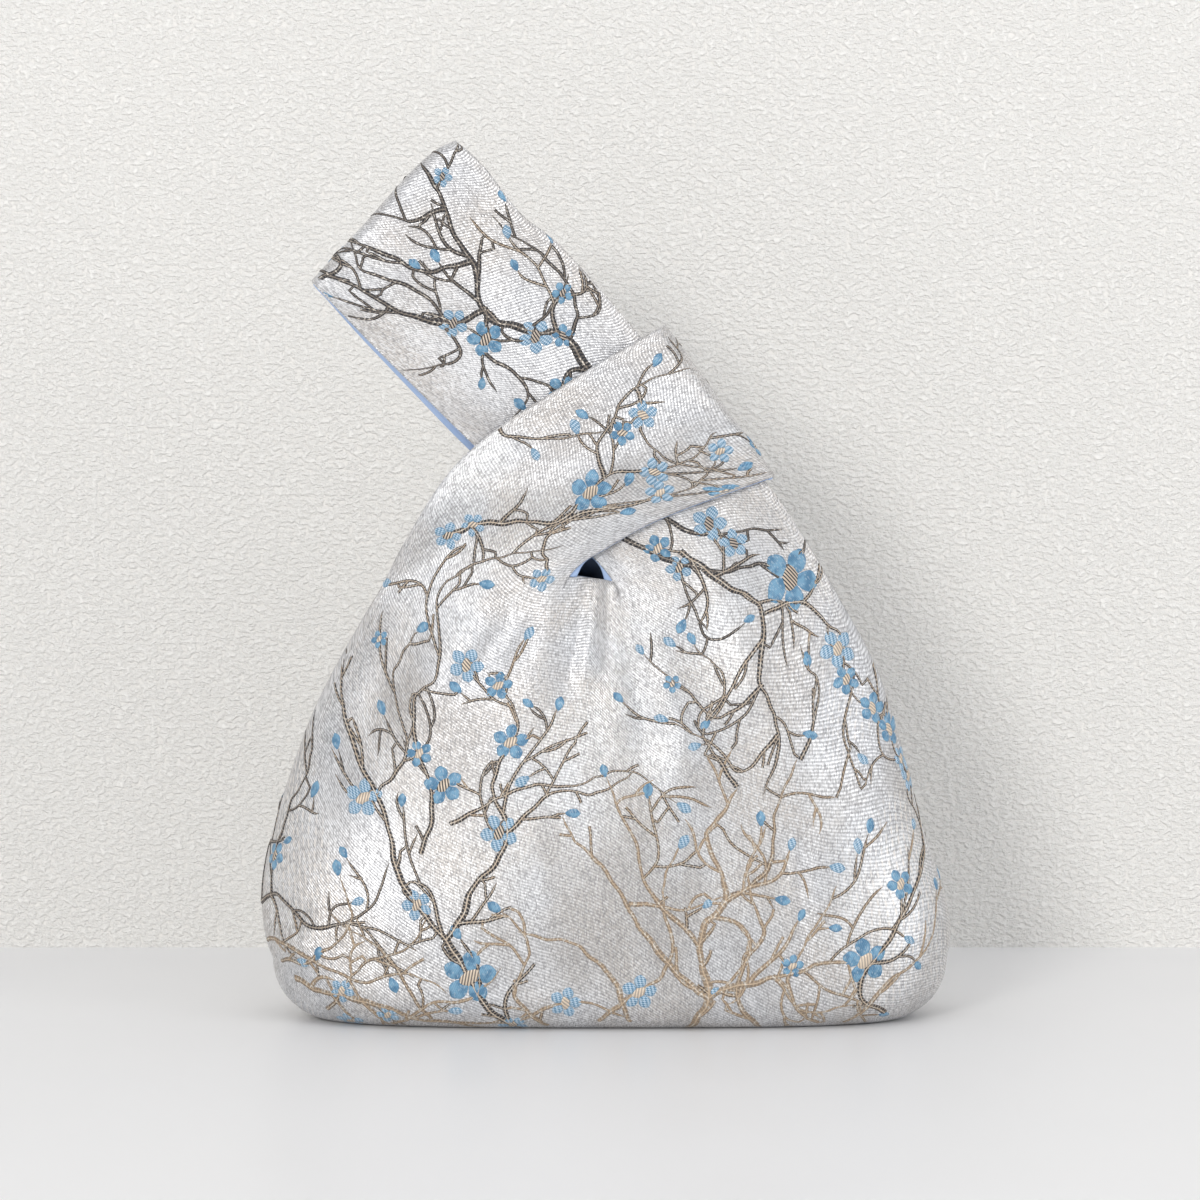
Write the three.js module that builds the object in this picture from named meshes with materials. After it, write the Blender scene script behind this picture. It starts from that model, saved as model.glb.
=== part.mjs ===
// A cloth wrist knot bag, standing on its boxed base.
// Front and back panels are each cut in one piece with half of a short strap and half of a long strap.
// The long strap passes through the short strap's loop, which closes the mouth. A lining of the same cut lies inside.
import * as THREE from 'three';

// Cloth, in millimetres
const OUTER_THICKNESS = 1.0;
const LINING_THICKNESS = 0.6;
const PLY_GAP = 0.3;
const SEAM_GAP = 0.3;

// Pouch
const BODY_WIDTH = 230;
const BASE_DEPTH = 76;
const BASE_ROUNDING = 12;
const CORNER_ROUNDING = 20;
const SEAM_TOP_HEIGHT = 139;
const MOUTH_HEIGHT = 147.2;
const MOUTH_WIDTH = 20;
const MOUTH_OFFSET = -4.8;
const MOUTH_TILT = 3;
const NECK_DEPTH = 21;
const BACK_LIP_RISE = 9;

// Straps, with the knot's middle on the line of the long strap
const KNOT_OFFSET = -1;
const KNOT_HEIGHT = 193;
const LONG_STRAP_WIDTH = 66;
const LONG_STRAP_REACH = 105;
const LONG_STRAP_LEAN = 46;
const LONG_STRAP_GAP = 6;
const BACK_STRAP_SHIFT = 1;
const LONG_CREST_BULGE = 2.8;
const LONG_EDGE_WAVER = 1;
const SHORT_STRAP_WIDTH = 58;
const SHORT_STRAP_LEAN = 31;
const SHORT_STRAP_DROP = 7;
const KNOT_CLEARANCE = 1.6;
const WRAP_CLEARANCE = 4.6;
const YOKE_CLEARANCE = 1.4;

// Folds pressed in by the knot
const TUCK_DEPTH = 2.4;
const PULL_FOLD_DEPTH = 1.5;
const PULL_FOLDS = 4;
const BAND_SWELL = 2.6;
const BROAD_FOLD_WIDTH = 7;
const BROAD_FOLD_HEIGHT = 1.2;

// How finely each stretch of cloth is divided
const STRAP_COLUMNS = 8;
const MOUTH_COLUMNS = 2;
const BASE_ROWS = 3;
const ROUNDING_ROWS = 4;
const FACE_ROWS = 12;
const SHORT_STRAP_ROWS = 10;
const LONG_STRAP_ROWS = 20;
const CREST_ROWS = 4;

const WALL = OUTER_THICKNESS + PLY_GAP + LINING_THICKNESS;
const COLUMNS = 2 * STRAP_COLUMNS + MOUTH_COLUMNS;
const SEAM_Y = SEAM_GAP / 2;
const LONG_STRAP_Y = LONG_STRAP_GAP / 2 + WALL;
const SHORT_STRAP_Y = LONG_STRAP_Y + KNOT_CLEARANCE + WALL;
const SEAM_TOP_LEFT = new THREE.Vector2(-0.337 * BODY_WIDTH, SEAM_TOP_HEIGHT);
const SEAM_TOP_RIGHT = new THREE.Vector2(0.34 * BODY_WIDTH, SEAM_TOP_HEIGHT);
const KNOT = new THREE.Vector2(KNOT_OFFSET, KNOT_HEIGHT);

const { lerp, smoothstep, degToRad } = THREE.MathUtils;

// A smooth function through [position, value] pairs in rising order of position.
function curveThrough(pairs) {
  const last = pairs.length - 1;
  const slope = (k) => {
    const before = pairs[Math.max(k - 1, 0)];
    const after = pairs[Math.min(k + 1, last)];
    return (after[1] - before[1]) / (after[0] - before[0]);
  };
  return (position) => {
    let k = 0;
    while (k < last - 1 && position > pairs[k + 1][0]) k += 1;
    const [from, to] = [pairs[k], pairs[k + 1]];
    const span = to[0] - from[0];
    const t = THREE.MathUtils.clamp((position - from[0]) / span, 0, 1);
    const bend = t * t * (3 - 2 * t);
    const rise = t * (1 - t) * (1 - t) * span * slope(k) - t * t * (1 - t) * span * slope(k + 1);
    return lerp(from[1], to[1], bend) + rise;
  };
}

// Direction in the plane of the bag's face, turned anticlockwise from the bag's right.
function heading(degrees) {
  return new THREE.Vector2(Math.cos(degToRad(degrees)), Math.sin(degToRad(degrees)));
}

// A smooth edge of a strap through points of the face plane, walked by length.
function edgeThrough(points) {
  const curve = new THREE.CatmullRomCurve3(points.map((p) => new THREE.Vector3(p.x, p.y, 0)), false, 'centripetal');
  return (t) => {
    const p = curve.getPointAt(THREE.MathUtils.clamp(t, 0, 1));
    return new THREE.Vector2(p.x, p.y);
  };
}

// Half the pouch's width on each side, as a share of half BODY_WIDTH, by height as a share of SEAM_TOP_HEIGHT.
const LEFT_SIDE = curveThrough([
  [0, 0.95], [0.12, 0.96], [0.2, 0.99], [0.31, 1], [0.46, 0.965],
  [0.71, 0.862], [0.86, 0.774], [1, 0.674], [1.25, 0.47],
]);
const RIGHT_SIDE = curveThrough([
  [0, 0.97], [0.12, 0.985], [0.2, 1], [0.28, 0.99], [0.46, 0.92],
  [0.71, 0.838], [0.86, 0.775], [1, 0.68], [1.25, 0.47],
]);

function halfWidth(across, height) {
  const side = across < 0 ? LEFT_SIDE : RIGHT_SIDE;
  return side(height / SEAM_TOP_HEIGHT) * BODY_WIDTH / 2;
}

// Broad folds of each panel, as ridges and furrows along straight lines of the face plane. The ends are shares of
// BODY_WIDTH and MOUTH_HEIGHT, and the sizes are shares of BROAD_FOLD_WIDTH and BROAD_FOLD_HEIGHT.
const FRONT_FOLDS = [
  { from: [0.039, 0.971], to: [0.148, 0.489], width: 1.15, height: 1.4 },
  { from: [0.113, 0.951], to: [0.252, 0.625], width: 0.95, height: -0.75 },
  { from: [-0.074, 0.951], to: [-0.2, 0.503], width: 1, height: 1.1 },
  { from: [-0.104, 0.951], to: [-0.287, 0.625], width: 0.85, height: -0.85 },
];
const BACK_FOLDS = [
  { from: [0.017, 1.019], to: [0.096, 0.571], width: 1, height: 1.25 },
  { from: [0.061, 0.992], to: [0.2, 0.652], width: 0.95, height: -0.9 },
  { from: [-0.078, 1.005], to: [-0.226, 0.571], width: 0.95, height: -0.85 },
  { from: [-0.148, 0.951], to: [-0.322, 0.571], width: 1, height: 0.9 },
];

// The two panels differ a little: the back's lip is higher, its long strap lies lower and it has its own folds.
const FRONT = { side: -1, lipRise: 0, strapShift: 0, foldPhase: 0.4, folds: FRONT_FOLDS };
const BACK = { side: 1, lipRise: BACK_LIP_RISE, strapShift: BACK_STRAP_SHIFT, foldPhase: 2.1, folds: BACK_FOLDS };

// The corners of the mouth in the face plane.
function mouthCorners(panel) {
  const left = new THREE.Vector2(MOUTH_OFFSET - MOUTH_WIDTH / 2, MOUTH_HEIGHT + 0.43 * MOUTH_TILT + panel.lipRise);
  const right = new THREE.Vector2(MOUTH_OFFSET + MOUTH_WIDTH / 2, MOUTH_HEIGHT - 0.57 * MOUTH_TILT + panel.lipRise);
  return { left, right };
}

// The yoke line, where the pouch becomes the two straps: across the left strap, the mouth and the right strap.
function yokePoint(column, panel) {
  const mouth = mouthCorners(panel);
  if (column <= STRAP_COLUMNS) {
    return SEAM_TOP_LEFT.clone().lerp(mouth.left, column / STRAP_COLUMNS);
  }
  if (column <= STRAP_COLUMNS + MOUTH_COLUMNS) {
    return mouth.left.clone().lerp(mouth.right, (column - STRAP_COLUMNS) / MOUTH_COLUMNS);
  }
  return mouth.right.clone().lerp(SEAM_TOP_RIGHT, (column - STRAP_COLUMNS - MOUTH_COLUMNS) / STRAP_COLUMNS);
}

// How far the yoke stands out from the middle plane, from one side seam to the other.
function yokeDepth(column) {
  const half = NECK_DEPTH / 2;
  const edge = THREE.MathUtils.clamp(Math.min(column, COLUMNS - column) / STRAP_COLUMNS, 0, 1);
  const swell = Math.pow(Math.sin(Math.min(edge * 2, 1) * Math.PI / 2), 0.8);
  const across = column / COLUMNS;
  const nearRightCorner = Math.exp(-Math.pow((across - 0.56) / 0.09, 2));
  return SEAM_Y + (half - SEAM_Y) * swell - (half - LONG_STRAP_Y - YOKE_CLEARANCE) * nearRightCorner;
}

// Rounded box outline of the base: position across and depth, for a column, as shares of half the width and depth.
const BASE_SQUARENESS = 3;
function baseOutline(column) {
  const angle = Math.PI * (1 - column / COLUMNS);
  const across = Math.sign(Math.cos(angle)) * Math.pow(Math.abs(Math.cos(angle)), 2 / BASE_SQUARENESS);
  const depth = Math.pow(Math.abs(Math.sin(angle)), 2 / BASE_SQUARENESS);
  return { across: column * 2 === COLUMNS ? 0 : across, depth };
}

function baseNormal(column) {
  const { across, depth } = baseOutline(column);
  const power = BASE_SQUARENESS - 1;
  const x = Math.sign(across) * Math.pow(Math.abs(across), power) / (BODY_WIDTH / 2);
  const y = -Math.pow(depth, power) / (BASE_DEPTH / 2);
  const onSeam = column === 0 || column === COLUMNS;
  return new THREE.Vector2(x, onSeam ? 0 : y).normalize();
}

function roundingAt(column) {
  return lerp(BASE_ROUNDING, CORNER_ROUNDING, Math.pow(Math.min(1, Math.abs(baseOutline(column).across) * 1.02), 6));
}

// A point of the pouch's face. rise runs from 0 above the base's rounding to 1 at the yoke.
function facePoint(column, rise, panel) {
  const yoke = yokePoint(column, panel);
  const base = baseOutline(column);
  const height = lerp(roundingAt(column), yoke.y, rise);
  const yokeAcross = yoke.x / halfWidth(yoke.x, yoke.y);
  const across = lerp(base.across, yokeAcross, smoothstep(rise, 0, 1.05) / smoothstep(1, 0, 1.05));
  const x = across * halfWidth(across, height);
  const draw = Math.pow(Math.max(rise - 0.12, 0) / 0.88, 1.7);
  const flat = SEAM_Y + (BASE_DEPTH / 2 - SEAM_Y) * (column === 0 || column === COLUMNS ? 0 : base.depth);
  const clearOfSeams = smoothstep(Math.min(column, COLUMNS - column), 0, 1.6);
  const broad = panel.folds.reduce((sum, fold) => sum + foldLift(fold, x, height), 0) * clearOfSeams;
  const depth = lerp(flat, yokeDepth(column), draw) + foldRelief(column, rise, panel) + broad;
  return new THREE.Vector3(x, -depth, height);
}

// Ridges and furrows that run down from the knot: one deep tuck below the mouth and softer pulls to its sides.
function foldRelief(column, rise, panel) {
  const inset = Math.min(column, COLUMNS - column) / 3;
  const clearOfSeams = smoothstep(inset, 0.2, 1);
  const fromMouth = (column - STRAP_COLUMNS - MOUTH_COLUMNS / 2) / 1.1;
  const tuckRun = smoothstep(rise, 0.45, 0.9) * lerp(1, 0.55, smoothstep(rise, 0.9, 1));
  const tuckShape = Math.exp(-fromMouth * fromMouth) - 0.35 * Math.exp(-fromMouth * fromMouth / 5);
  const pullRun = smoothstep(rise, 0.3, 0.75) * (1 - smoothstep(rise, 0.8, 1));
  const pull = Math.sin(2 * Math.PI * PULL_FOLDS * column / COLUMNS + panel.foldPhase + 1.2 * rise);
  return clearOfSeams * (PULL_FOLD_DEPTH * pull * pullRun - TUCK_DEPTH * tuckRun * tuckShape);
}

// How far a broad fold lifts the cloth at a place of the face plane.
function foldLift(fold, x, z) {
  const start = new THREE.Vector2(fold.from[0] * BODY_WIDTH, fold.from[1] * MOUTH_HEIGHT);
  const line = new THREE.Vector2(fold.to[0] * BODY_WIDTH, fold.to[1] * MOUTH_HEIGHT).sub(start);
  const length = line.length();
  const place = new THREE.Vector2(x, z).sub(start);
  const along = place.dot(line) / length;
  const aside = place.cross(line) / length;
  const rising = smoothstep(along, -0.12 * length, 0.2 * length);
  const fading = 1 - smoothstep(along, 0.75 * length, 1.15 * length);
  const spread = BROAD_FOLD_WIDTH * fold.width * (1 + 0.5 * THREE.MathUtils.clamp(along / length, 0, 1));
  return BROAD_FOLD_HEIGHT * fold.height * rising * fading * Math.exp(-Math.pow(aside / spread, 2));
}

// One column of cloth from the seam under the base, out over the flat, round the edge and up to the yoke.
function pouchColumn(column, panel) {
  const rounding = roundingAt(column);
  const normal = baseNormal(column);
  const foot = facePoint(column, 0, panel);
  const flatEnd = new THREE.Vector3(foot.x - rounding * normal.x, foot.y - rounding * normal.y, 0);
  if (column === 0 || column === COLUMNS) flatEnd.y = -SEAM_Y;
  const seamAcross = -Math.cos(Math.PI * column / COLUMNS);
  const seamHalf = halfWidth(seamAcross, CORNER_ROUNDING) - CORNER_ROUNDING;
  const flatStart = new THREE.Vector3(seamAcross * seamHalf, -SEAM_Y, 0);
  const flatLength = flatStart.distanceTo(flatEnd);
  const arcLength = rounding * Math.PI / 2;
  const path = [];
  const stretch = (from, to, steps, pointAt) => {
    for (let k = from; k <= steps; k += 1) path.push(pointAt(lerp(0, to, k / steps)));
  };
  if (flatLength > 0.01) {
    stretch(0, 1, 12, (t) => flatStart.clone().lerp(flatEnd, t));
  } else {
    path.push(flatEnd);
  }
  stretch(1, Math.PI / 2, 24, (turn) => new THREE.Vector3(
    flatEnd.x + rounding * Math.sin(turn) * normal.x,
    flatEnd.y + rounding * Math.sin(turn) * normal.y,
    rounding * (1 - Math.cos(turn)),
  ));
  stretch(1, 1, 60, (rise) => facePoint(column, rise, panel));
  const lengths = [0];
  for (let k = 1; k < path.length; k += 1) lengths.push(lengths[k - 1] + path[k].distanceTo(path[k - 1]));
  const total = lengths[lengths.length - 1];
  const flatStop = Math.max(flatLength, 0.3 * arcLength);
  const arcStop = Math.max(flatLength + arcLength, flatStop + 0.7 * arcLength);
  const stops = [];
  for (let k = 0; k < BASE_ROWS; k += 1) stops.push(flatStop * k / BASE_ROWS);
  for (let k = 0; k < ROUNDING_ROWS; k += 1) stops.push(lerp(flatStop, arcStop, k / ROUNDING_ROWS));
  for (let k = 0; k <= FACE_ROWS; k += 1) stops.push(lerp(arcStop, total, k / FACE_ROWS));
  return stops.map((stop) => {
    let k = 1;
    while (k < path.length - 1 && lengths[k] < stop) k += 1;
    const share = (stop - lengths[k - 1]) / (lengths[k] - lengths[k - 1]);
    return path[k - 1].clone().lerp(path[k], THREE.MathUtils.clamp(share, 0, 1));
  });
}

// Rows along a strap, close together where it turns over its crest at the far end.
function strapRows(rows, length, crest) {
  const runs = [];
  for (let k = 1; k <= rows; k += 1) runs.push((1 - crest / length) * k / rows);
  for (let k = 1; k <= CREST_ROWS; k += 1) {
    const turn = Math.PI / 2 * k / CREST_ROWS;
    runs.push(1 - (crest / length) * (1 - Math.sin(turn)));
  }
  return runs;
}

// Depth of a strap's half where it turns over its crest and meets the other half in the shoulder seam.
function crestDepth(depth, run, length, crest) {
  const toEnd = THREE.MathUtils.clamp((1 - run) * length / crest, 0, 1);
  const roundness = Math.sqrt(1 - (1 - toEnd) * (1 - toEnd));
  return SEAM_Y + (depth - SEAM_Y) * roundness;
}

const LONG_HEADING = heading(180 - LONG_STRAP_LEAN);
const LONG_ACROSS = heading(90 - LONG_STRAP_LEAN);
const LONG_CREST = 0.8 * LONG_STRAP_Y;
const SHORT_CREST = 0.55 * SHORT_STRAP_Y;

// How far the long strap's crest stands out beyond its corners, by the position across, as a share of the greatest.
const LONG_CREST_CURVE = curveThrough([[0, 0], [0.35, 0.4], [0.72, 1], [0.9, 0.8], [1, 0]]);

// Both edges of the long strap, from the yoke through the knot to its crest. The right edge wavers a little.
function longStrapEdges(panel) {
  const half = LONG_STRAP_WIDTH / 2;
  const shift = LONG_ACROSS.clone().multiplyScalar(-panel.strapShift);
  const at = (share, aside) => KNOT.clone()
    .addScaledVector(LONG_HEADING, LONG_STRAP_REACH * share)
    .addScaledVector(LONG_ACROSS, aside);
  const left = edgeThrough([
    mouthCorners(panel).right,
    at(0, -0.94 * half).add(shift),
    at(0.7, -half).add(shift),
    at(1, -half),
  ]);
  const right = edgeThrough([
    SEAM_TOP_RIGHT,
    at(-0.56, half - 1.2 * WRAP_CLEARANCE),
    at(0, half - 0.4 * WRAP_CLEARANCE).add(shift),
    at(0.54, half + LONG_EDGE_WAVER).add(shift),
    at(0.69, half - LONG_EDGE_WAVER).add(shift),
    at(0.88, half + LONG_EDGE_WAVER).add(shift),
    at(1, half + 0.4 * LONG_EDGE_WAVER),
  ]);
  return { left, right, length: at(1, 0).distanceTo(mouthCorners(panel).right) };
}

// Both edges of the short strap, from the yoke over the long strap to its crest beyond the long strap's edge.
function shortStrapEdges(panel) {
  const middle = KNOT.clone().addScaledVector(heading(90 + SHORT_STRAP_LEAN), -SHORT_STRAP_DROP);
  const half = SHORT_STRAP_WIDTH / 2;
  const up = heading(90 + SHORT_STRAP_LEAN);
  const along = heading(SHORT_STRAP_LEAN);
  const onLongEdge = (back) => KNOT.clone()
    .addScaledVector(LONG_ACROSS, LONG_STRAP_WIDTH / 2)
    .addScaledVector(LONG_HEADING, back);
  const crestTop = onLongEdge(0.22 * SHORT_STRAP_WIDTH).addScaledVector(LONG_ACROSS, 1.8 * WRAP_CLEARANCE);
  const crestFoot = onLongEdge(-0.83 * SHORT_STRAP_WIDTH);
  const outer = edgeThrough([
    SEAM_TOP_LEFT,
    middle.clone().addScaledVector(up, 0.86 * half).addScaledVector(along, -0.78 * SHORT_STRAP_WIDTH),
    middle.clone().addScaledVector(up, half).addScaledVector(along, 0.05 * SHORT_STRAP_WIDTH),
    crestTop,
  ]);
  const lift = new THREE.Vector2(0, panel.lipRise * 0.6);
  const below = (aside, back) => middle.clone()
    .addScaledVector(up, -aside * half)
    .addScaledVector(along, -back * SHORT_STRAP_WIDTH);
  const inner = edgeThrough([
    mouthCorners(panel).left,
    below(0.84, 0.34).addScaledVector(lift, 0.6),
    below(0.86, 0).add(lift),
    crestFoot,
  ]);
  return { outer, inner, length: crestTop.distanceTo(SEAM_TOP_LEFT) };
}

// Cloth as a skin of shared points and four-sided patches, before it has a thickness.
class Skin {
  constructor() {
    this.points = [];
    this.patches = [];
    this.seamPoints = new Set();
  }

  add(point, onSeam = false) {
    this.points.push(point);
    if (onSeam) this.seamPoints.add(this.points.length - 1);
    return this.points.length - 1;
  }

  // Joins rows of point numbers into patches that face out of the bag's front.
  weave(rows) {
    for (let k = 0; k + 1 < rows.length; k += 1) {
      for (let j = 0; j + 1 < rows[k].length; j += 1) {
        this.patches.push([rows[k][j], rows[k][j + 1], rows[k + 1][j + 1], rows[k + 1][j]]);
      }
    }
  }
}

function straightRows(skin, columns) {
  const seam = (column, row) => row === 0 || column === 0 || column === COLUMNS;
  return columns[0].map((_, row) => columns.map((points, column) => skin.add(points[row], seam(column, row))));
}

// Extends a strap from its share of the yoke row, edge to edge, to the crest, which may bulge along the strap.
function addStrap(skin, yokeRow, first, second, runs, depthAt, bulgeAt) {
  const rows = [yokeRow];
  const last = yokeRow.length - 1;
  const startDepths = yokeRow.map((index) => -skin.points[index].y);
  for (const run of runs) {
    const [from, to] = [first(run), second(run)];
    rows.push(yokeRow.map((_, j) => {
      const across = j / last;
      const p = from.clone().lerp(to, across).add(bulgeAt(run, across));
      return skin.add(new THREE.Vector3(p.x, -depthAt(run, across, startDepths[j]), p.y), run === 1);
    }));
  }
  skin.weave(rows);
}

// The whole skin of one panel, built as the front panel and turned over for the back.
function panelSkin(panel) {
  const skin = new Skin();
  const columns = [];
  for (let column = 0; column <= COLUMNS; column += 1) columns.push(pouchColumn(column, panel));
  const rows = straightRows(skin, columns);
  skin.weave(rows);
  const yoke = rows[rows.length - 1];

  const short = shortStrapEdges(panel);
  addStrap(skin, yoke.slice(0, STRAP_COLUMNS + 1), short.outer, short.inner,
    strapRows(SHORT_STRAP_ROWS, short.length, SHORT_CREST), (run, across, start) => {
      const swell = BAND_SWELL * Math.sin(Math.PI * across) * smoothstep(run, 0.1, 0.4) * (1 - 0.6 * run);
      const depth = lerp(start, SHORT_STRAP_Y + swell, smoothstep(run, -0.1, 0.34));
      return crestDepth(depth, run, short.length, SHORT_CREST);
    }, () => new THREE.Vector2());

  const long = longStrapEdges(panel);
  addStrap(skin, yoke.slice(COLUMNS - STRAP_COLUMNS), long.left, long.right,
    strapRows(LONG_STRAP_ROWS, long.length, LONG_CREST), (run, across, start) => {
      const settle = smoothstep(run, -0.02, lerp(0.12, 0.26, across));
      return crestDepth(lerp(start, LONG_STRAP_Y, settle), run, long.length, LONG_CREST);
    }, (run, across) => {
      const bulge = LONG_CREST_BULGE * LONG_CREST_CURVE(across) * smoothstep(run, 0.72, 1);
      return LONG_HEADING.clone().multiplyScalar(bulge);
    });
  return skin;
}

// Directions out of the cloth at each point. On a seam, or nearer the middle plane than the wall is thick, they are
// mitred into that plane, so the front and back never cross.
function skinNormals(skin) {
  const normals = skin.points.map(() => new THREE.Vector3());
  for (const patch of skin.patches) {
    const [a, b, c, d] = patch.map((index) => skin.points[index]);
    const normal = new THREE.Vector3().subVectors(c, a).cross(new THREE.Vector3().subVectors(d, b));
    patch.forEach((index) => normals[index].add(normal));
  }
  return normals.map((sum, index) => {
    const normal = sum.normalize();
    const depth = -skin.points[index].y;
    if (!skin.seamPoints.has(index) && depth > 1.4 * WALL) return normal;
    const flat = new THREE.Vector3(normal.x, 0, normal.z).normalize();
    return flat.divideScalar(Math.max(0.6, flat.dot(normal)));
  });
}

// Edges that only one patch uses: the seams and the turned edges of the panel.
function openEdges(patches) {
  const seen = new Map();
  for (const patch of patches) {
    patch.forEach((from, k) => {
      const to = patch[(k + 1) % patch.length];
      const back = `${to} ${from}`;
      if (seen.has(back)) seen.delete(back);
      else seen.set(`${from} ${to}`, [from, to]);
    });
  }
  return [...seen.values()];
}

// Gives the skin a thickness between two depths below it, and turns it over for the back panel.
function clothGeometry(skin, outside, inside, side) {
  const normals = skinNormals(skin);
  const count = skin.points.length;
  const flip = side < 0 ? 1 : -1;
  const positions = [];
  for (const depth of [outside, inside]) {
    skin.points.forEach((point, index) => {
      const p = point.clone().addScaledVector(normals[index], -depth);
      positions.push(p.x, p.y * flip, p.z);
    });
  }
  const faces = [];
  const addFace = (a, b, c) => faces.push(...(side < 0 ? [a, b, c] : [a, c, b]));
  for (const [a, b, c, d] of skin.patches) {
    addFace(a, b, c);
    addFace(a, c, d);
    addFace(count + a, count + c, count + b);
    addFace(count + a, count + d, count + c);
  }
  for (const [from, to] of openEdges(skin.patches)) {
    addFace(from, count + to, to);
    addFace(from, count + from, count + to);
  }
  const geometry = new THREE.BufferGeometry();
  geometry.setAttribute('position', new THREE.Float32BufferAttribute(positions, 3));
  geometry.setIndex(faces);
  geometry.computeVertexNormals();
  return geometry;
}

const brocade = new THREE.MeshStandardMaterial({ color: 0xc9ccd2, roughness: 0.5, metalness: 0.25 });
const satin = new THREE.MeshStandardMaterial({ color: 0xa9bfe4, roughness: 0.38, metalness: 0.0 });

function panelMesh(name, skin, side, outside, thickness, material) {
  const mesh = new THREE.Mesh(clothGeometry(skin, outside, outside + thickness, side), material);
  mesh.name = name;
  return mesh;
}

const bag = new THREE.Group();
for (const [place, panel] of [['front', FRONT], ['back', BACK]]) {
  const skin = panelSkin(panel);
  bag.add(panelMesh(`outer_${place}_panel`, skin, panel.side, 0, OUTER_THICKNESS, brocade));
  bag.add(panelMesh(`lining_${place}_panel`, skin, panel.side, OUTER_THICKNESS + PLY_GAP, LINING_THICKNESS, satin));
}

export default bag;
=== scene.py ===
"""A silver brocade wrist knot bag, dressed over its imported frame.

Lengths of the cloth are written in millimetres and turn into metres where a mesh is made. The four panels
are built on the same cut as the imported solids, with finer folds, and the woven boughs, blossoms and buds lie
on them as low relief.
"""

import logging
import math
from collections.abc import Sequence
from dataclasses import dataclass, field
from enum import Enum

import bpy
import numpy as np
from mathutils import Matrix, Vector, kdtree, noise


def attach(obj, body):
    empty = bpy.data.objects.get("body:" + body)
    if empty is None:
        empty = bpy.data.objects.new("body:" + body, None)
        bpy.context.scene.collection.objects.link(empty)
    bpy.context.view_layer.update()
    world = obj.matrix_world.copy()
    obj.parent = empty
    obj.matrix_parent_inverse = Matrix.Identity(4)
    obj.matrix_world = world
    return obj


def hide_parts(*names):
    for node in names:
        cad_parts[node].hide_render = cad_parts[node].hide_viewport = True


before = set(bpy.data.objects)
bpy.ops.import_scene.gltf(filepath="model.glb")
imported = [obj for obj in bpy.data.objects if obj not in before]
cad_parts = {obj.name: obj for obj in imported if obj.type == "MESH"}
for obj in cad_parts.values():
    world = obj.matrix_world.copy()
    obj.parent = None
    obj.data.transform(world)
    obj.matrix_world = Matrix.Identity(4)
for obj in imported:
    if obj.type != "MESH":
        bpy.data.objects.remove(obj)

LOG = logging.getLogger("knot_bag")
MM = 0.001
TINY = 1e-9
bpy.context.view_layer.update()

Array = np.ndarray
Numbers = np.ndarray | float
Place = tuple[float, float]
Colour = tuple[float, float, float]
Socket = bpy.types.NodeSocket
Input = Socket | float | tuple[float, ...]
Material = bpy.types.Material
Piece = bpy.types.Object


def smoothstep(value: Numbers, low: Numbers, high: Numbers) -> Array:
    """Returns 0 below low, 1 above high and an eased share between them."""
    t = np.clip((np.asarray(value, float) - low) / (high - low), 0.0, 1.0)
    return t * t * (3 - 2 * t)


def lerp(start: Numbers, end: Numbers, share: Numbers) -> Array:
    """Returns the value a share of the way from start to end."""
    return start + (end - start) * share


def heading(degrees: float) -> Array:
    """Returns a direction in the face plane, turned anticlockwise from the bag's right."""
    return np.array([math.cos(math.radians(degrees)), math.sin(math.radians(degrees))])


def unit(vectors: Array, least: float = TINY) -> Array:
    """Returns each row of vectors at a length of one, if it is longer than least."""
    return vectors / np.maximum(np.linalg.norm(vectors, axis=1, keepdims=True), least)


def lengths_along(path: Array) -> Array:
    """Returns the length walked along a path at each of its points."""
    return np.concatenate([[0], np.cumsum(np.linalg.norm(np.diff(path, axis=0), axis=1))])


def weave(rows: Array) -> Array:
    """Joins rows of point numbers into patches of four, facing out of the bag's front."""
    return np.stack([rows[:-1, :-1], rows[:-1, 1:], rows[1:, 1:], rows[1:, :-1]], axis=-1).reshape(-1, 4)


def note(piece: Piece, label: str, values: Array) -> None:
    """Notes a number at each point of a piece."""
    held = piece.data.attributes.new(label, "FLOAT", "POINT")
    held.data.foreach_set("value", values.astype(np.float32))


class SmoothCurve:
    """A smooth function through pairs of position and value."""

    def __init__(self, pairs: Sequence[Place]) -> None:
        """Takes the pairs in rising order of position."""
        self.positions = np.array([pair[0] for pair in pairs])
        self.values = np.array([pair[1] for pair in pairs])
        before = np.maximum(np.arange(len(pairs)) - 1, 0)
        after = np.minimum(np.arange(len(pairs)) + 1, len(pairs) - 1)
        rises = self.values[after] - self.values[before]
        self.slopes = rises / (self.positions[after] - self.positions[before])

    def __call__(self, position: Numbers) -> Array:
        """Returns the curve's value at each position.

        Args:
            position: Where the curve is read.

        Returns:
            Its height there.
        """
        position = np.asarray(position, float)
        k = np.searchsorted(self.positions[1:-1], position, side="left")
        span = self.positions[k + 1] - self.positions[k]
        t = np.clip((position - self.positions[k]) / span, 0, 1)
        bend = t * t * (3 - 2 * t)
        rise = t * (1 - t) ** 2 * span * self.slopes[k] - t * t * (1 - t) * span * self.slopes[k + 1]
        return lerp(self.values[k], self.values[k + 1], bend) + rise


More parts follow.
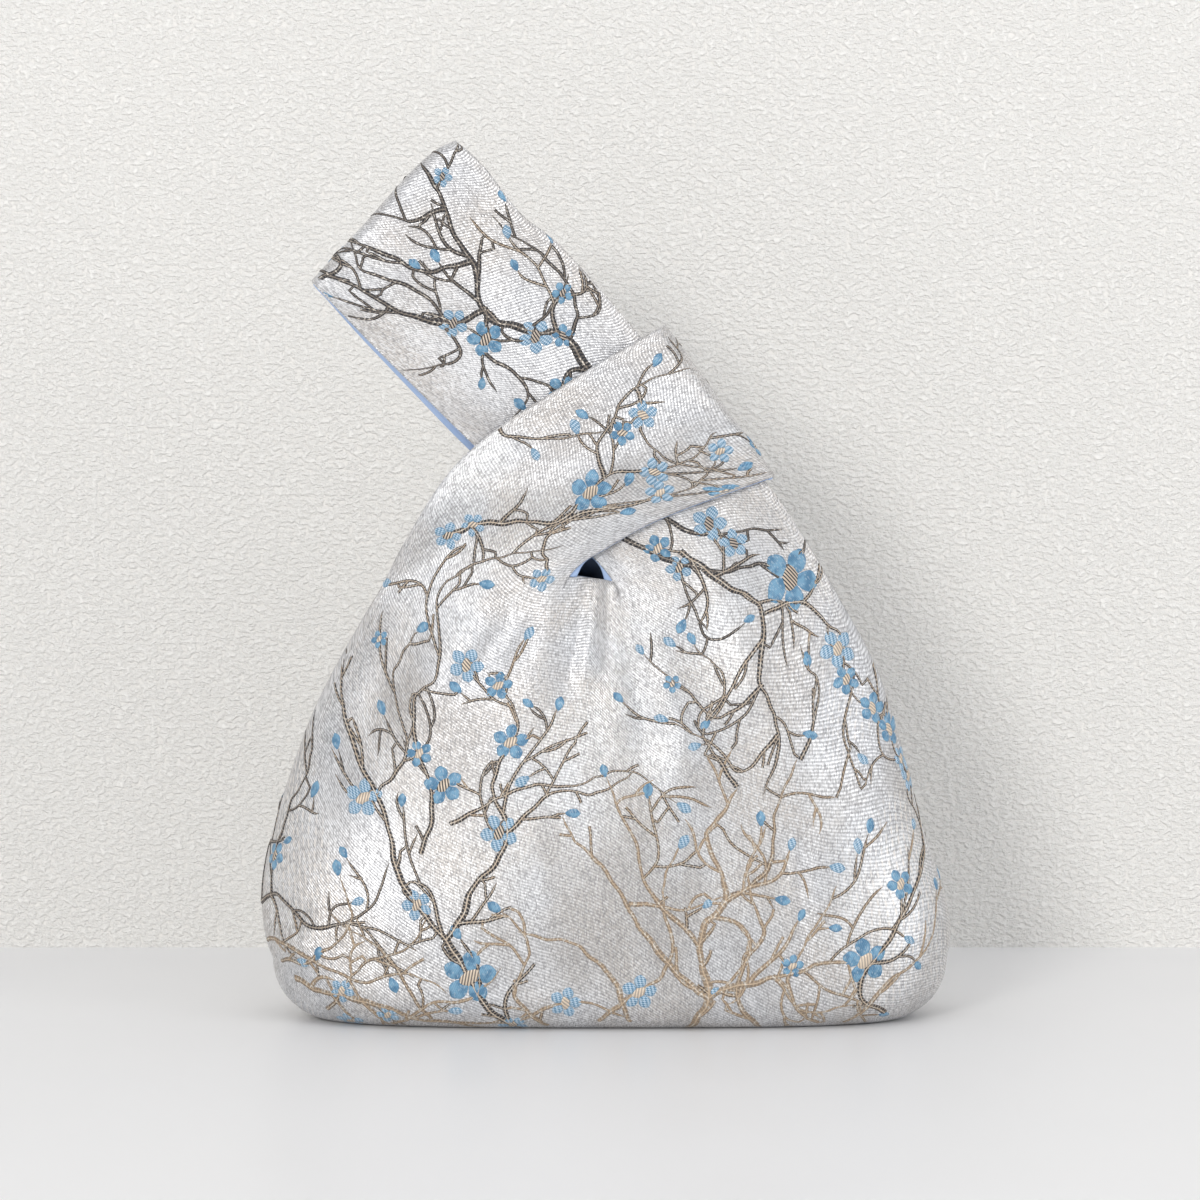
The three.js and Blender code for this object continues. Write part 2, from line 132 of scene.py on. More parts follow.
class StrapEdge:
    """A smooth edge of a strap through points of the face plane, walked by length."""

    STEPS = 160

    def __init__(self, points: Sequence[Array]) -> None:
        """Lays a centripetal curve and measures it.

        Args:
            points: The places that it goes through.
        """
        points = [np.asarray(point, float) for point in points]
        around = [2 * points[0] - points[1], *points, 2 * points[-1] - points[-2]]
        walked = [points[0]]
        for k in range(1, len(around) - 2):
            p = around[k - 1:k + 3]
            gaps = [max(np.linalg.norm(p[j + 1] - p[j]) ** 0.5, 1e-4) for j in range(3)]
            before, here, after = [(p[j + 1] - p[j]) / gaps[j] for j in range(3)]
            leave = gaps[1] * (before - (p[2] - p[0]) / (gaps[0] + gaps[1]) + here)
            reach = gaps[1] * (here - (p[3] - p[1]) / (gaps[1] + gaps[2]) + after)
            for step in range(1, self.STEPS + 1):
                t = step / self.STEPS
                cubic = -3 * p[1] + 3 * p[2] - 2 * leave - reach
                quartic = 2 * p[1] - 2 * p[2] + leave + reach
                walked.append(p[1] + leave * t + cubic * t * t + quartic * t ** 3)
        self.walk = np.array(walked)
        lengths = lengths_along(self.walk)
        self.shares = lengths / lengths[-1]

    def __call__(self, share: float) -> Array:
        """Returns the point a share of the edge's length along it."""
        return np.array([np.interp(share, self.shares, self.walk[:, axis]) for axis in (0, 1)])


class Face(Enum):
    """The two faces of the bag."""

    FRONT = -1
    BACK = 1


class Leg(Enum):
    """The straps that a panel runs up into: the short one on the left and the long one on the right."""

    SHORT = "short"
    LONG = "long"


@dataclass(frozen=True)
class Fineness:
    """How finely each stretch of cloth is divided."""

    columns: int = 8
    base_rows: int = 12
    rounding_rows: int = 12
    face_rows: int = 66
    short_rows: int = 56
    long_rows: int = 88
    crest_rows: int = 8


@dataclass(frozen=True)
class FaceShape:
    """What differs between the front and the back panel."""

    lip_rise: float
    strap_shift: float
    fold_phase: float


@dataclass(frozen=True)
class BagPattern:
    """The cut of one panel and the way it stands, in millimetres."""

    wall: float = 1.9
    seam_y: float = 0.15
    body_width: float = 230.0
    base_depth: float = 76.0
    base_rounding: float = 12.0
    corner_rounding: float = 20.0
    base_squareness: float = 3.0
    seam_top: float = 139.0
    seam_shares: Place = (-0.337, 0.34)
    mouth_height: float = 147.2
    mouth_width: float = 20.0
    mouth_offset: float = -4.8
    mouth_tilt: Place = (1.3, -1.7)
    neck_depth: float = 21.0
    yoke_clearance: float = 1.4
    knot: Place = (-1.0, 193.0)
    long_width: float = 66.0
    long_reach: float = 105.0
    long_lean: float = 46.0
    long_gap: float = 6.0
    long_crest_bulge: float = 2.8
    short_width: float = 58.0
    short_lean: float = 31.0
    short_drop: float = 7.0
    knot_clearance: float = 1.6
    wrap_clearance: float = 4.6
    tuck_depth: float = 2.4
    pull_depth: float = 1.5
    pulls: int = 4
    band_swell: float = 2.6
    strap_columns: int = 8
    mouth_columns: int = 2
    columns: int = 18
    shapes: dict[Face, FaceShape] = field(default_factory=lambda: {
        Face.FRONT: FaceShape(lip_rise=0.0, strap_shift=0.0, fold_phase=0.4),
        Face.BACK: FaceShape(lip_rise=9.0, strap_shift=1.0, fold_phase=2.1),
    })
    left_side: SmoothCurve = SmoothCurve([
        (0, 0.95), (0.12, 0.96), (0.2, 0.99), (0.31, 1), (0.46, 0.965), (0.71, 0.862), (0.86, 0.774),
        (1, 0.674), (1.25, 0.47),
    ])
    right_side: SmoothCurve = SmoothCurve([
        (0, 0.97), (0.12, 0.985), (0.2, 1), (0.28, 0.99), (0.46, 0.92), (0.71, 0.838), (0.86, 0.775),
        (1, 0.68), (1.25, 0.47),
    ])
    crest_curve: SmoothCurve = SmoothCurve([(0, 0), (0.35, 0.4), (0.72, 1), (0.9, 0.8), (1, 0)])

    @property
    def long_y(self) -> float:
        """How far the long strap's outside stands from the middle plane."""
        return self.long_gap / 2 + self.wall

    @property
    def short_y(self) -> float:
        """How far the short strap's outside stands from the middle plane."""
        return self.long_y + self.knot_clearance + self.wall

    @property
    def seam_corners(self) -> tuple[Array, Array]:
        """The tops of the left and right side seams."""
        left, right = (share * self.body_width for share in self.seam_shares)
        return np.array([left, self.seam_top]), np.array([right, self.seam_top])

    def half_width(self, across: Array, height: Array) -> Array:
        """Returns half the pouch's width on the side that across lies on, at each height."""
        share = height / self.seam_top
        return np.where(across < 0, self.left_side(share), self.right_side(share)) * self.body_width / 2

    def mouth_corners(self, face: Face) -> tuple[Array, Array]:
        """Returns the left and right corners of the mouth in the face plane."""
        top, half = self.mouth_height + self.shapes[face].lip_rise, self.mouth_width / 2
        left, right = (top + tilt for tilt in self.mouth_tilt)
        return np.array([self.mouth_offset - half, left]), np.array([self.mouth_offset + half, right])

    def yoke_point(self, column: Array, face: Face) -> tuple[Array, Array]:
        """Returns where the pouch becomes the straps, across and up, for each column.

        Args:
            column: The columns of cloth.
            face: The front or the back panel.

        Returns:
            How far across and how far up the yoke is there.
        """
        stops = [0, self.strap_columns, self.strap_columns + self.mouth_columns, self.columns]
        corners = [self.seam_corners[0], *self.mouth_corners(face), self.seam_corners[1]]
        across, up = [np.interp(column, stops, [corner[axis] for corner in corners]) for axis in (0, 1)]
        return across, up

    def yoke_depth(self, column: Array) -> Array:
        """Returns how far the yoke stands out from the middle plane at each column."""
        half = self.neck_depth / 2
        edge = np.clip(np.minimum(column, self.columns - column) / self.strap_columns, 0, 1)
        swell = np.sin(np.minimum(edge * 2, 1) * math.pi / 2) ** 0.8
        near_corner = np.exp(-((column / self.columns - 0.56) / 0.09) ** 2)
        drawn_in = (half - self.long_y - self.yoke_clearance) * near_corner
        return self.seam_y + (half - self.seam_y) * swell - drawn_in

    def base_outline(self, column: Array) -> tuple[Array, Array]:
        """Returns the base's rounded outline: across and depth, as shares of half the width and depth."""
        angle = math.pi * (1 - np.asarray(column, float) / self.columns)
        power = 2 / self.base_squareness
        return np.sign(np.cos(angle)) * np.abs(np.cos(angle)) ** power, np.abs(np.sin(angle)) ** power

    def base_normal(self, column: float) -> Array:
        """Returns the direction out of the base outline at a column."""
        across, depth = self.base_outline(column)
        power = self.base_squareness - 1
        x = np.sign(across) * abs(across) ** power / (self.body_width / 2)
        y = 0.0 if column in (0, self.columns) else -depth ** power / (self.base_depth / 2)
        return np.array([x, y]) / math.hypot(x, y)

    def rounding_at(self, column: Array) -> Array:
        """Returns the radius between the base and the face at each column."""
        reach = np.minimum(1, np.abs(self.base_outline(column)[0]) * 1.02)
        return lerp(self.base_rounding, self.corner_rounding, reach ** 6)

    def fold_relief(self, column: Array, rise: Array, face: Face) -> Array:
        """Returns the broad ridges and furrows that run down from the knot.

        Args:
            column: The column of cloth.
            rise: How far up each point lies, from 0 to 1 at the yoke.
            face: The front or the back panel.

        Returns:
            How far each point stands out.
        """
        shape = self.shapes[face]
        clear = smoothstep(np.minimum(column, self.columns - column) / 3, 0.2, 1)
        from_mouth = (column - self.strap_columns - self.mouth_columns / 2) / 1.1
        run = smoothstep(rise, 0.45, 0.9) * lerp(1, 0.55, smoothstep(rise, 0.9, 1))
        tuck = self.tuck_depth * run * (np.exp(-from_mouth ** 2) - 0.35 * np.exp(-from_mouth ** 2 / 5))
        pull_run = smoothstep(rise, 0.3, 0.75) * (1 - smoothstep(rise, 0.8, 1))
        pull = np.sin(2 * math.pi * self.pulls * column / self.columns + shape.fold_phase + 1.2 * rise)
        return clear * (self.pull_depth * pull * pull_run - tuck)

    def face_point(self, column: float, rise: Array, face: Face) -> Array:
        """Returns points of the pouch's face, from 0 above the base's rounding to 1 at the yoke.

        Args:
            column: The column of cloth, which may lie between two of the pattern's.
            rise: How far up each point lies.
            face: The front or the back panel.

        Returns:
            One row of x, y and z for each value of rise.
        """
        yoke_x, yoke_z = self.yoke_point(column, face)
        base_x, base_depth = self.base_outline(column)
        height = lerp(self.rounding_at(column), yoke_z, rise)
        yoke_across = yoke_x / self.half_width(yoke_x, yoke_z)
        across = lerp(base_x, yoke_across, smoothstep(rise, 0, 1.05) / smoothstep(1, 0, 1.05))
        x = across * self.half_width(across, height)
        draw = (np.maximum(rise - 0.12, 0) / 0.88) ** 1.7
        share = 0 if column in (0, self.columns) else base_depth
        flat = self.seam_y + (self.base_depth / 2 - self.seam_y) * share
        depth = lerp(flat, self.yoke_depth(column), draw) + self.fold_relief(column, rise, face)
        return np.stack([x, -depth, height], axis=-1)

    def pouch_column(self, column: float, face: Face, fineness: Fineness) -> Array:
        """Lays one column of cloth from the seam under the base to the yoke.

        Args:
            column: The column of cloth.
            face: The front or the back panel.
            fineness: How many rows each stretch gets.

        Returns:
            One row of x, y and z for each row of the pouch.
        """
        rounding = float(self.rounding_at(column))
        normal = self.base_normal(column)
        foot = self.face_point(column, np.array([0.0]), face)[0]
        flat_end = np.array([foot[0] - rounding * normal[0], foot[1] - rounding * normal[1], 0.0])
        if column in (0, self.columns):
            flat_end[1] = -self.seam_y
        seam_across = -math.cos(math.pi * column / self.columns)
        seam_half = float(self.half_width(np.array(seam_across), np.array(self.corner_rounding)))
        seam_half -= self.corner_rounding
        flat_start = np.array([seam_across * seam_half, -self.seam_y, 0.0])
        flat_length = float(np.linalg.norm(flat_end - flat_start))
        flat = flat_end[None]
        if flat_length > 0.01:
            flat = flat_start + (flat_end - flat_start) * np.linspace(0, 1, 13)[:, None]
        turn = np.linspace(0, math.pi / 2, 25)[1:]
        rounded = np.stack([
            flat_end[0] + rounding * np.sin(turn) * normal[0],
            flat_end[1] + rounding * np.sin(turn) * normal[1],
            rounding * (1 - np.cos(turn)),
        ], axis=-1)
        path = np.concatenate([flat, rounded, self.face_point(column, np.linspace(0, 1, 121)[1:], face)])
        lengths = lengths_along(path)
        arc = rounding * math.pi / 2
        flat_stop = max(flat_length, 0.3 * arc)
        arc_stop = max(flat_length + arc, flat_stop + 0.7 * arc)
        stops = np.concatenate([
            np.linspace(0, flat_stop, fineness.base_rows, endpoint=False),
            np.linspace(flat_stop, arc_stop, fineness.rounding_rows, endpoint=False),
            np.linspace(arc_stop, lengths[-1], fineness.face_rows + 1),
        ])
        return np.stack([np.interp(stops, lengths, path[:, axis]) for axis in range(3)], axis=-1)

    def strap_edges(self, leg: Leg, face: Face) -> tuple[StrapEdge, StrapEdge, float]:
        """Returns a strap's left edge, its right edge and its length from the yoke to the crest."""
        return self.short_strap_edges(face) if leg is Leg.SHORT else self.long_strap_edges(face)

    def long_strap_edges(self, face: Face) -> tuple[StrapEdge, StrapEdge, float]:
        """Lays the long strap's edges from the yoke through the knot to its crest.

        Args:
            face: The front or the back panel.

        Returns:
            Its left edge, its right edge and its length.
        """
        half = self.long_width / 2
        along, across = heading(180 - self.long_lean), heading(90 - self.long_lean)
        shift = -across * self.shapes[face].strap_shift

        def at(share: float, aside: float) -> Array:
            """Returns the place a share of the reach beyond the knot, and so far aside."""
            return np.array(self.knot) + self.long_reach * share * along + aside * across

        mouth = self.mouth_corners(face)[1]
        left = StrapEdge([mouth, at(0, -0.94 * half) + shift, at(0.7, -half) + shift, at(1, -half)])
        right = StrapEdge([
            self.seam_corners[1],
            at(-0.56, half - 1.2 * self.wrap_clearance),
            at(0, half - 0.4 * self.wrap_clearance) + shift,
            at(0.54, half + 1) + shift,
            at(0.69, half - 1) + shift,
            at(0.88, half + 1) + shift,
            at(1, half + 0.4),
        ])
        return left, right, float(np.linalg.norm(at(1, 0) - mouth))

    def crest_bulge(self, leg: Leg, run: float, across: Array) -> Array:
        """Returns how far the crest carries each point of a row on, across and up in the face plane.

        Args:
            leg: The short or the long strap.
            run: How far along it, from 0 to 1.
            across: How far across it each point is.

        Returns:
            The step of each point.
        """
        if leg is Leg.SHORT:
            return np.zeros((len(across), 2))
        bulge = self.long_crest_bulge * self.crest_curve(across) * float(smoothstep(run, 0.72, 1))
        return bulge[:, None] * heading(180 - self.long_lean)

    def short_strap_edges(self, face: Face) -> tuple[StrapEdge, StrapEdge, float]:
        """Lays the short strap's edges from the yoke over the long strap to its crest.

        Args:
            face: The front or the back panel.

        Returns:
            Its outer edge, its inner edge and its length.
        """
        up, along = heading(90 + self.short_lean), heading(self.short_lean)
        long_along, long_across = heading(180 - self.long_lean), heading(90 - self.long_lean)
        half, knot = self.short_width / 2, np.array(self.knot)
        middle = knot - self.short_drop * up
        on_long_edge = knot + self.long_width / 2 * long_across
        crest_top = on_long_edge + 0.22 * self.short_width * long_along
        crest_top = crest_top + 1.8 * self.wrap_clearance * long_across
        crest_foot = on_long_edge - 0.83 * self.short_width * long_along
        outer = StrapEdge([
            self.seam_corners[0],
            middle + 0.86 * half * up - 0.78 * self.short_width * along,
            middle + half * up + 0.05 * self.short_width * along,
            crest_top,
        ])
        lift = np.array([0, 0.6 * self.shapes[face].lip_rise])
        root = middle - 0.84 * half * up - 0.34 * self.short_width * along + 0.6 * lift
        inner = StrapEdge([self.mouth_corners(face)[0], root, middle - 0.86 * half * up + lift, crest_foot])
        return outer, inner, float(np.linalg.norm(crest_top - self.seam_corners[0]))

    def strap_depth(self, leg: Leg, run: float, across: Array, start: Array, length: float) -> Array:
        """Returns a strap's depth in front of the middle plane along one row.

        Args:
            leg: The short or the long strap.
            run: How far along the strap the row lies, from 0 to 1.
            across: How far across the strap each point lies, from 0 to 1.
            start: The depth of each column at the yoke.
            length: The strap's length.

        Returns:
            The depth of each point of the row.
        """
        if leg is Leg.SHORT:
            swell = self.band_swell * np.sin(math.pi * across) * smoothstep(run, 0.1, 0.4) * (1 - 0.6 * run)
            depth = lerp(start, self.short_y + swell, smoothstep(run, -0.1, 0.34))
        else:
            settle = smoothstep(np.full_like(across, run), -0.02, lerp(0.12, 0.26, across))
            depth = lerp(start, self.long_y, settle)
        to_end = np.clip((1 - run) * length / self.crest_reach(leg), 0, 1)
        return self.seam_y + (depth - self.seam_y) * math.sqrt(1 - (1 - to_end) ** 2)

    def crest_reach(self, leg: Leg) -> float:
        """Returns how far below its crest a strap starts to turn over."""
        return 0.55 * self.short_y if leg is Leg.SHORT else 0.8 * self.long_y

    def strap_runs(self, leg: Leg, length: float, fineness: Fineness) -> Array:
        """Returns the rows along a strap of a length, close together where it turns over its crest.

        Args:
            leg: The short or the long strap.
            length: Its length.
            fineness: How many rows it gets.

        Returns:
            Each row's share of the strap's length.
        """
        crest = self.crest_reach(leg) / length
        rows = fineness.short_rows if leg is Leg.SHORT else fineness.long_rows
        turn = np.linspace(0, math.pi / 2, fineness.crest_rows + 1)[1:]
        return np.concatenate([np.linspace(0, 1 - crest, rows + 1)[1:], 1 - crest * (1 - np.sin(turn))])


@dataclass(frozen=True)
class Fold:
    """A ridge, or a furrow where its height is negative, along a line in the face plane."""

    start: Place
    end: Place
    width: float
    height: float

    def relief(self, x: Array, z: Array) -> Array:
        """Returns how far the fold lifts the cloth at each place of the face plane, in millimetres.

        Args:
            x: How far to the right each place is.
            z: How high each place is.

        Returns:
            The lift at each place.
        """
        start, line = np.array(self.start), np.array(self.end) - np.array(self.start)
        length = float(np.linalg.norm(line))
        along = ((x - start[0]) * line[0] + (z - start[1]) * line[1]) / length
        aside = ((x - start[0]) * line[1] - (z - start[1]) * line[0]) / length
        ends = smoothstep(along, -0.12 * length, 0.2 * length)
        ends = ends * (1 - smoothstep(along, 0.75 * length, 1.15 * length))
        spread = self.width * (1 + 0.5 * np.clip(along / length, 0, 1))
        return self.height * ends * np.exp(-(aside / spread) ** 2)


@dataclass(frozen=True)
class Creases:
    """The finer folds of a panel: the pouch's, each strap's, and the soft unevenness of handled cloth."""

    pouch: tuple[Fold, ...]
    short: tuple[Fold, ...]
    long: tuple[Fold, ...]
    waver: float = 0.55
    seed: float = 1.7

    def uneven(self, u: Array, v: Array) -> Array:
        """Returns the soft unevenness at each place of the flat cut.

        Args:
            u: The places across.
            v: The places up.

        Returns:
            The lift at each place.
        """
        lift = np.empty(len(u))
        for k, (across, along) in enumerate(zip(u, v)):
            broad = noise.noise(Vector((across / 34, along / 46, self.seed)))
            fine = noise.noise(Vector((across / 11, along / 17, self.seed + 9)))
            lift[k] = broad + 0.34 * fine
        return self.waver * lift


FRONT_CREASES = Creases(
    pouch=(
        Fold((-2.5, 147), (-7.5, 112), 1.9, 1.25),
        Fold((-7.5, 147), (-13, 110), 2.0, -0.9),
        Fold((1.5, 146), (0, 116), 2.0, -0.8),
        Fold((9, 143), (34, 72), 8.0, 1.7),
        Fold((5, 136), (16, 90), 4.0, -1.3),
        Fold((26, 140), (58, 92), 6.0, -0.9),
        Fold((-17, 140), (-46, 74), 7.0, 1.3),
        Fold((-24, 140), (-66, 92), 5.0, -1.0),
        Fold((63, 66), (61, 6), 3.6, 1.0),
        Fold((71, 66), (70, 8), 4.0, -0.7),
        Fold((-116, 44), (-98, 34), 4.0, -1.6),
        Fold((-108, 30), (-84, 12), 5.0, 0.9),
    ),
    short=(
        Fold((-52, 176), (-72, 150), 4.0, 1.3),
        Fold((-46, 170), (-64, 146), 4.0, -0.9),
        Fold((-38, 172), (30, 196), 7.0, 1.0),
        Fold((-30, 162), (34, 184), 4.0, -0.7),
    ),
    long=(
        Fold((30, 150), (62, 120), 6.0, 0.9),
        Fold((-52, 232), (-88, 262), 9.0, 0.7),
    ),
    seed=1.7,
)
BACK_CREASES = Creases(
    pouch=(
        Fold((-6, 150), (-22, 96), 4.0, 1.3),
        Fold((4, 150), (22, 84), 6.0, 1.5),
        Fold((14, 146), (46, 96), 5.0, -1.1),
        Fold((-18, 148), (-52, 84), 6.0, -1.0),
        Fold((-34, 140), (-74, 84), 7.0, 1.1),
        Fold((64, 70), (70, 12), 5.0, 0.8),
    ),
    short=(Fold((-50, 172), (-70, 150), 4.0, 1.2), Fold((-36, 170), (32, 196), 7.0, 1.0)),
    long=(Fold((30, 150), (62, 120), 6.0, 0.9),),
    seed=6.3,
)


class PanelSkin:
    """The outside surface of one panel: a sheet of shared points that runs up into two straps.

    Its pouch holds point numbers by row and column, straps holds each strap's with the yoke as their first
    row, and legs holds the pouch's with one strap's above them, and -1 where there is no cloth.
    """

    EASED_ROWS = 15
    EASE_ROUNDS = 40
    SEAM_FADE = (0.0, 1.6)
    CREST_FADE = (2, 22)
    FOOT_FADE = (2, 14)
    NEAR_MIDDLE = 1.4
    LEAST_MITRE = 0.6

    def __init__(self, pattern: BagPattern, face: Face, creases: Creases, fineness: Fineness) -> None:
        """Lays the skin, folds it and measures its flat cut.

        Args:
            pattern: The cut and how it stands.
            face: The front or the back panel.
            creases: Its finer folds.
            fineness: How finely it is divided.
        """
        self.pattern, self.face, self.fineness = pattern, face, fineness
        self.columns = self.spread_columns()
        self.strap_stop = self.column_number(pattern.strap_columns)
        self.mouth_stop = self.column_number(pattern.strap_columns + pattern.mouth_columns)
        self.spans = {Leg.SHORT: slice(0, self.strap_stop + 1), Leg.LONG: slice(self.mouth_stop, None)}
        self.points, self.seam = np.zeros((0, 3)), np.zeros(0, bool)
        self.pouch = self.lay_pouch()
        self.straps = {leg: self.lay_strap(leg) for leg in Leg}
        self.legs = {leg: self.join_leg(leg) for leg in Leg}
        self.patches = np.concatenate([weave(rows) for rows in (self.pouch, *self.straps.values())])
        self.ease_yoke()
        self.cut = self.measure_cut()
        self.rims = self.find_rims()
        self.crease(creases)
        self.normals = self.find_normals()

    def spread_columns(self) -> Array:
        """Returns the columns of the skin, closer together beside the side seams."""
        per, last = self.fineness.columns, self.pattern.columns
        near = (np.arange(per) / per) ** 1.4
        return np.concatenate([near, np.linspace(1, last - 1, per * (last - 2) + 1), (last - near)[::-1]])

    def column_number(self, column: int) -> int:
        """Returns the skin's column that lies on a column of the pattern."""
        return int(np.argmin(np.abs(self.columns - column)))

    def add(self, points: Array, seam: Array) -> Array:
        """Adds a block of points, some of them on a seam, and returns their numbers."""
        numbers = np.arange(len(self.points), len(self.points) + seam.size).reshape(seam.shape)
        self.points = np.vstack([self.points, points.reshape(-1, 3)])
        self.seam = np.concatenate([self.seam, seam.reshape(-1)])
        return numbers

    def lay_pouch(self) -> Array:
        """Lays the pouch and returns its point numbers by row and column."""
        pattern, face, fineness = self.pattern, self.face, self.fineness
        columns = [pattern.pouch_column(column, face, fineness) for column in self.columns.tolist()]
        block = np.stack(columns, axis=1)
        seam = np.zeros(block.shape[:2], bool)
        seam[0] = seam[:, 0] = seam[:, -1] = True
        return self.add(block, seam)

    def lay_strap(self, leg: Leg) -> Array:
        """Lays a strap above its share of the yoke.

        Args:
            leg: The short or the long strap.

        Returns:
            Its point numbers by row and column, the yoke's first.
        """
        pattern, yoke = self.pattern, self.pouch[-1, self.spans[leg]]
        first, second, length = pattern.strap_edges(leg, self.face)
        columns = self.columns[self.spans[leg]]
        across = (columns - columns[0]) / (columns[-1] - columns[0])
        start = -self.points[yoke][:, 1]
        rows = []
        for run in pattern.strap_runs(leg, length, self.fineness).tolist():
            flat = lerp(first(run), second(run), across[:, None]) + pattern.crest_bulge(leg, run, across)
            depth = pattern.strap_depth(leg, run, across, start, length)
            rows.append(np.stack([flat[:, 0], -depth, flat[:, 1]], axis=-1))
        seam = np.zeros((len(rows), len(across)), bool)
        seam[-1] = True
        return np.vstack([yoke, self.add(np.stack(rows), seam)])

    def join_leg(self, leg: Leg) -> Array:
        """Returns the pouch's numbers with one strap's above them, and -1 where there is no cloth."""
        above = np.full((len(self.straps[leg]) - 1, self.pouch.shape[1]), -1)
        above[:, self.spans[leg]] = self.straps[leg][1:]
        return np.vstack([self.pouch, above])

    def ease_yoke(self) -> None:
        """Smooths the bend between the pouch and the straps along each column."""
        middle, reach = len(self.pouch) - 1, self.EASED_ROWS
        weight = np.cos(np.linspace(-math.pi / 2, math.pi / 2, 2 * reach + 1))[1:-1, None, None] * 0.5
        for leg, span in self.spans.items():
            strip = self.legs[leg][middle - reach:middle + reach + 1, span]
            for _ in range(self.EASE_ROUNDS):
                block = self.points[strip]
                block[1:-1] = lerp(block[1:-1], (block[:-2] + block[2:]) / 2, weight)
                self.points[strip] = block

    def measure_cut(self) -> Array:
        """Returns where each point lies on the flat cut, across from the middle and up from the base seam."""
        cut = np.zeros((len(self.points), 2))
        block = self.points[self.pouch]
        steps = np.linalg.norm(np.diff(block, axis=1), axis=2)
        across = np.concatenate([np.zeros((len(block), 1)), np.cumsum(steps, axis=1)], axis=1)
        middle = self.column_number(self.pattern.columns // 2)
        across -= across[:, middle:middle + 1]
        rises = np.linalg.norm(np.diff(block, axis=0), axis=2)
        up = np.concatenate([np.zeros((1, block.shape[1])), np.cumsum(rises, axis=0)])
        cut[self.pouch] = np.stack([across, up], axis=-1)
        for rows in self.straps.values():
            yoke, strap = rows[0], rows[1:]
            rises = np.linalg.norm(np.diff(self.points[rows], axis=0), axis=2)
            cut[strap, 1] = cut[yoke, 1] + np.cumsum(rises, axis=0)
            cut[strap, 0] = cut[yoke, 0]
        return cut

    def find_rims(self) -> dict[int, tuple[int, bool]]:
        """Returns each open edge point's inner neighbour, and whether it lies on the mouth's hem."""
        pouch, short, long = self.pouch, self.straps[Leg.SHORT][1:], self.straps[Leg.LONG][1:]
        gap = slice(self.strap_stop, self.mouth_stop + 1)
        edges = (
            (pouch[0], pouch[1], False), (pouch[:, 0], pouch[:, 1], False),
            (pouch[:, -1], pouch[:, -2], False),
            (short[:, 0], short[:, 1], False), (long[:, -1], long[:, -2], False),
            (short[-1], short[-2], False), (long[-1], long[-2], False),
            (pouch[-1, gap], pouch[-2, gap], True), (short[:, -1], short[:, -2], True),
            (long[:, 0], long[:, 1], True),
        )
        return {int(a): (int(b), mouth) for edge, inner, mouth in edges for a, b in zip(edge, inner)}

    def crease(self, creases: Creases) -> None:
        """Presses the finer folds into the cloth, fading out towards the seams."""
        lift, clear = np.zeros(len(self.points)), np.ones(len(self.points))
        x, z = self.points[:, 0], self.points[:, 2]
        short, long = self.straps[Leg.SHORT][1:], self.straps[Leg.LONG][1:]
        for numbers, folds in ((self.pouch, creases.pouch), (short, creases.short), (long, creases.long)):
            place = numbers.reshape(-1)
            for fold in folds:
                lift[place] += fold.relief(x[place], z[place])
        lift += creases.uneven(self.cut[:, 0], self.cut[:, 1])
        for strap in (short, long):
            clear[strap] = smoothstep(np.arange(len(strap))[::-1], *self.CREST_FADE)[:, None]
        edge = np.minimum(self.columns, self.pattern.columns - self.columns)
        below = np.arange(len(self.pouch)) - len(self.pouch) + 1
        calm = 1 - 0.35 * np.exp(-(below / 5.0) ** 2)
        clear[self.pouch] = smoothstep(edge, *self.SEAM_FADE)[None] * calm[:, None]
        self.points += self.find_normals() * (lift * clear * smoothstep(z, *self.FOOT_FADE))[:, None]

    def face_vectors(self) -> Array:
        """Returns a vector out of each patch, twice as long as the patch is large."""
        corners = self.points[self.patches]
        return np.cross(corners[:, 2] - corners[:, 0], corners[:, 3] - corners[:, 1])

    def find_normals(self) -> Array:
        """Returns directions out of the cloth, turned into the middle plane where the other panel is near."""
        faces, sums = self.face_vectors(), np.zeros_like(self.points)
        for k in range(4):
            np.add.at(sums, self.patches[:, k], faces)
        normals = unit(sums, 1e-12)
        near = self.seam | (-self.points[:, 1] <= self.NEAR_MIDDLE * self.pattern.wall)
        flat = unit(normals * np.array([1, 0, 1]))
        flat /= np.maximum(self.LEAST_MITRE, np.sum(flat * normals, axis=1, keepdims=True))
        turned = np.where(near[:, None], flat, normals)
        turned[self.points[:, 2] < 0.02] = (0, 0, -1)
        return turned

    def mouth_run(self, edge: Array, length: float) -> Array:
        """Returns, for points on the edge, 1 where a strap leaves the mouth, falling to 0 within a length.

        Args:
            edge: The edge's points, in order.
            length: The length in which it falls.

        Returns:
            The share of each point on the edge.
        """
        run = np.zeros(len(self.points))
        for strap in (self.straps[Leg.SHORT][:, -1], self.straps[Leg.LONG][:, 0]):
            run[strap] = 1 - smoothstep(self.cut[strap, 1] - self.cut[strap[0], 1], 0, length)
            run[strap[0]] = 0.5
        return run[edge]

    def area(self) -> float:
        """Returns the flat area of the cut in square metres."""
        return float(np.linalg.norm(self.face_vectors(), axis=1).sum() / 2) * MM * MM

    def flat_size(self) -> Place:
        """Returns the width and length of the rectangle that the panel is cut from, in metres."""
        return float(np.ptp(self.cut[:, 0])) * MM, float(self.cut[:, 1].max()) * MM

    def turned(self, points: Array) -> Array:
        """Turns points built for the front over to this panel's face, in metres."""
        return points * np.array([1, -self.face.value, 1]) * MM


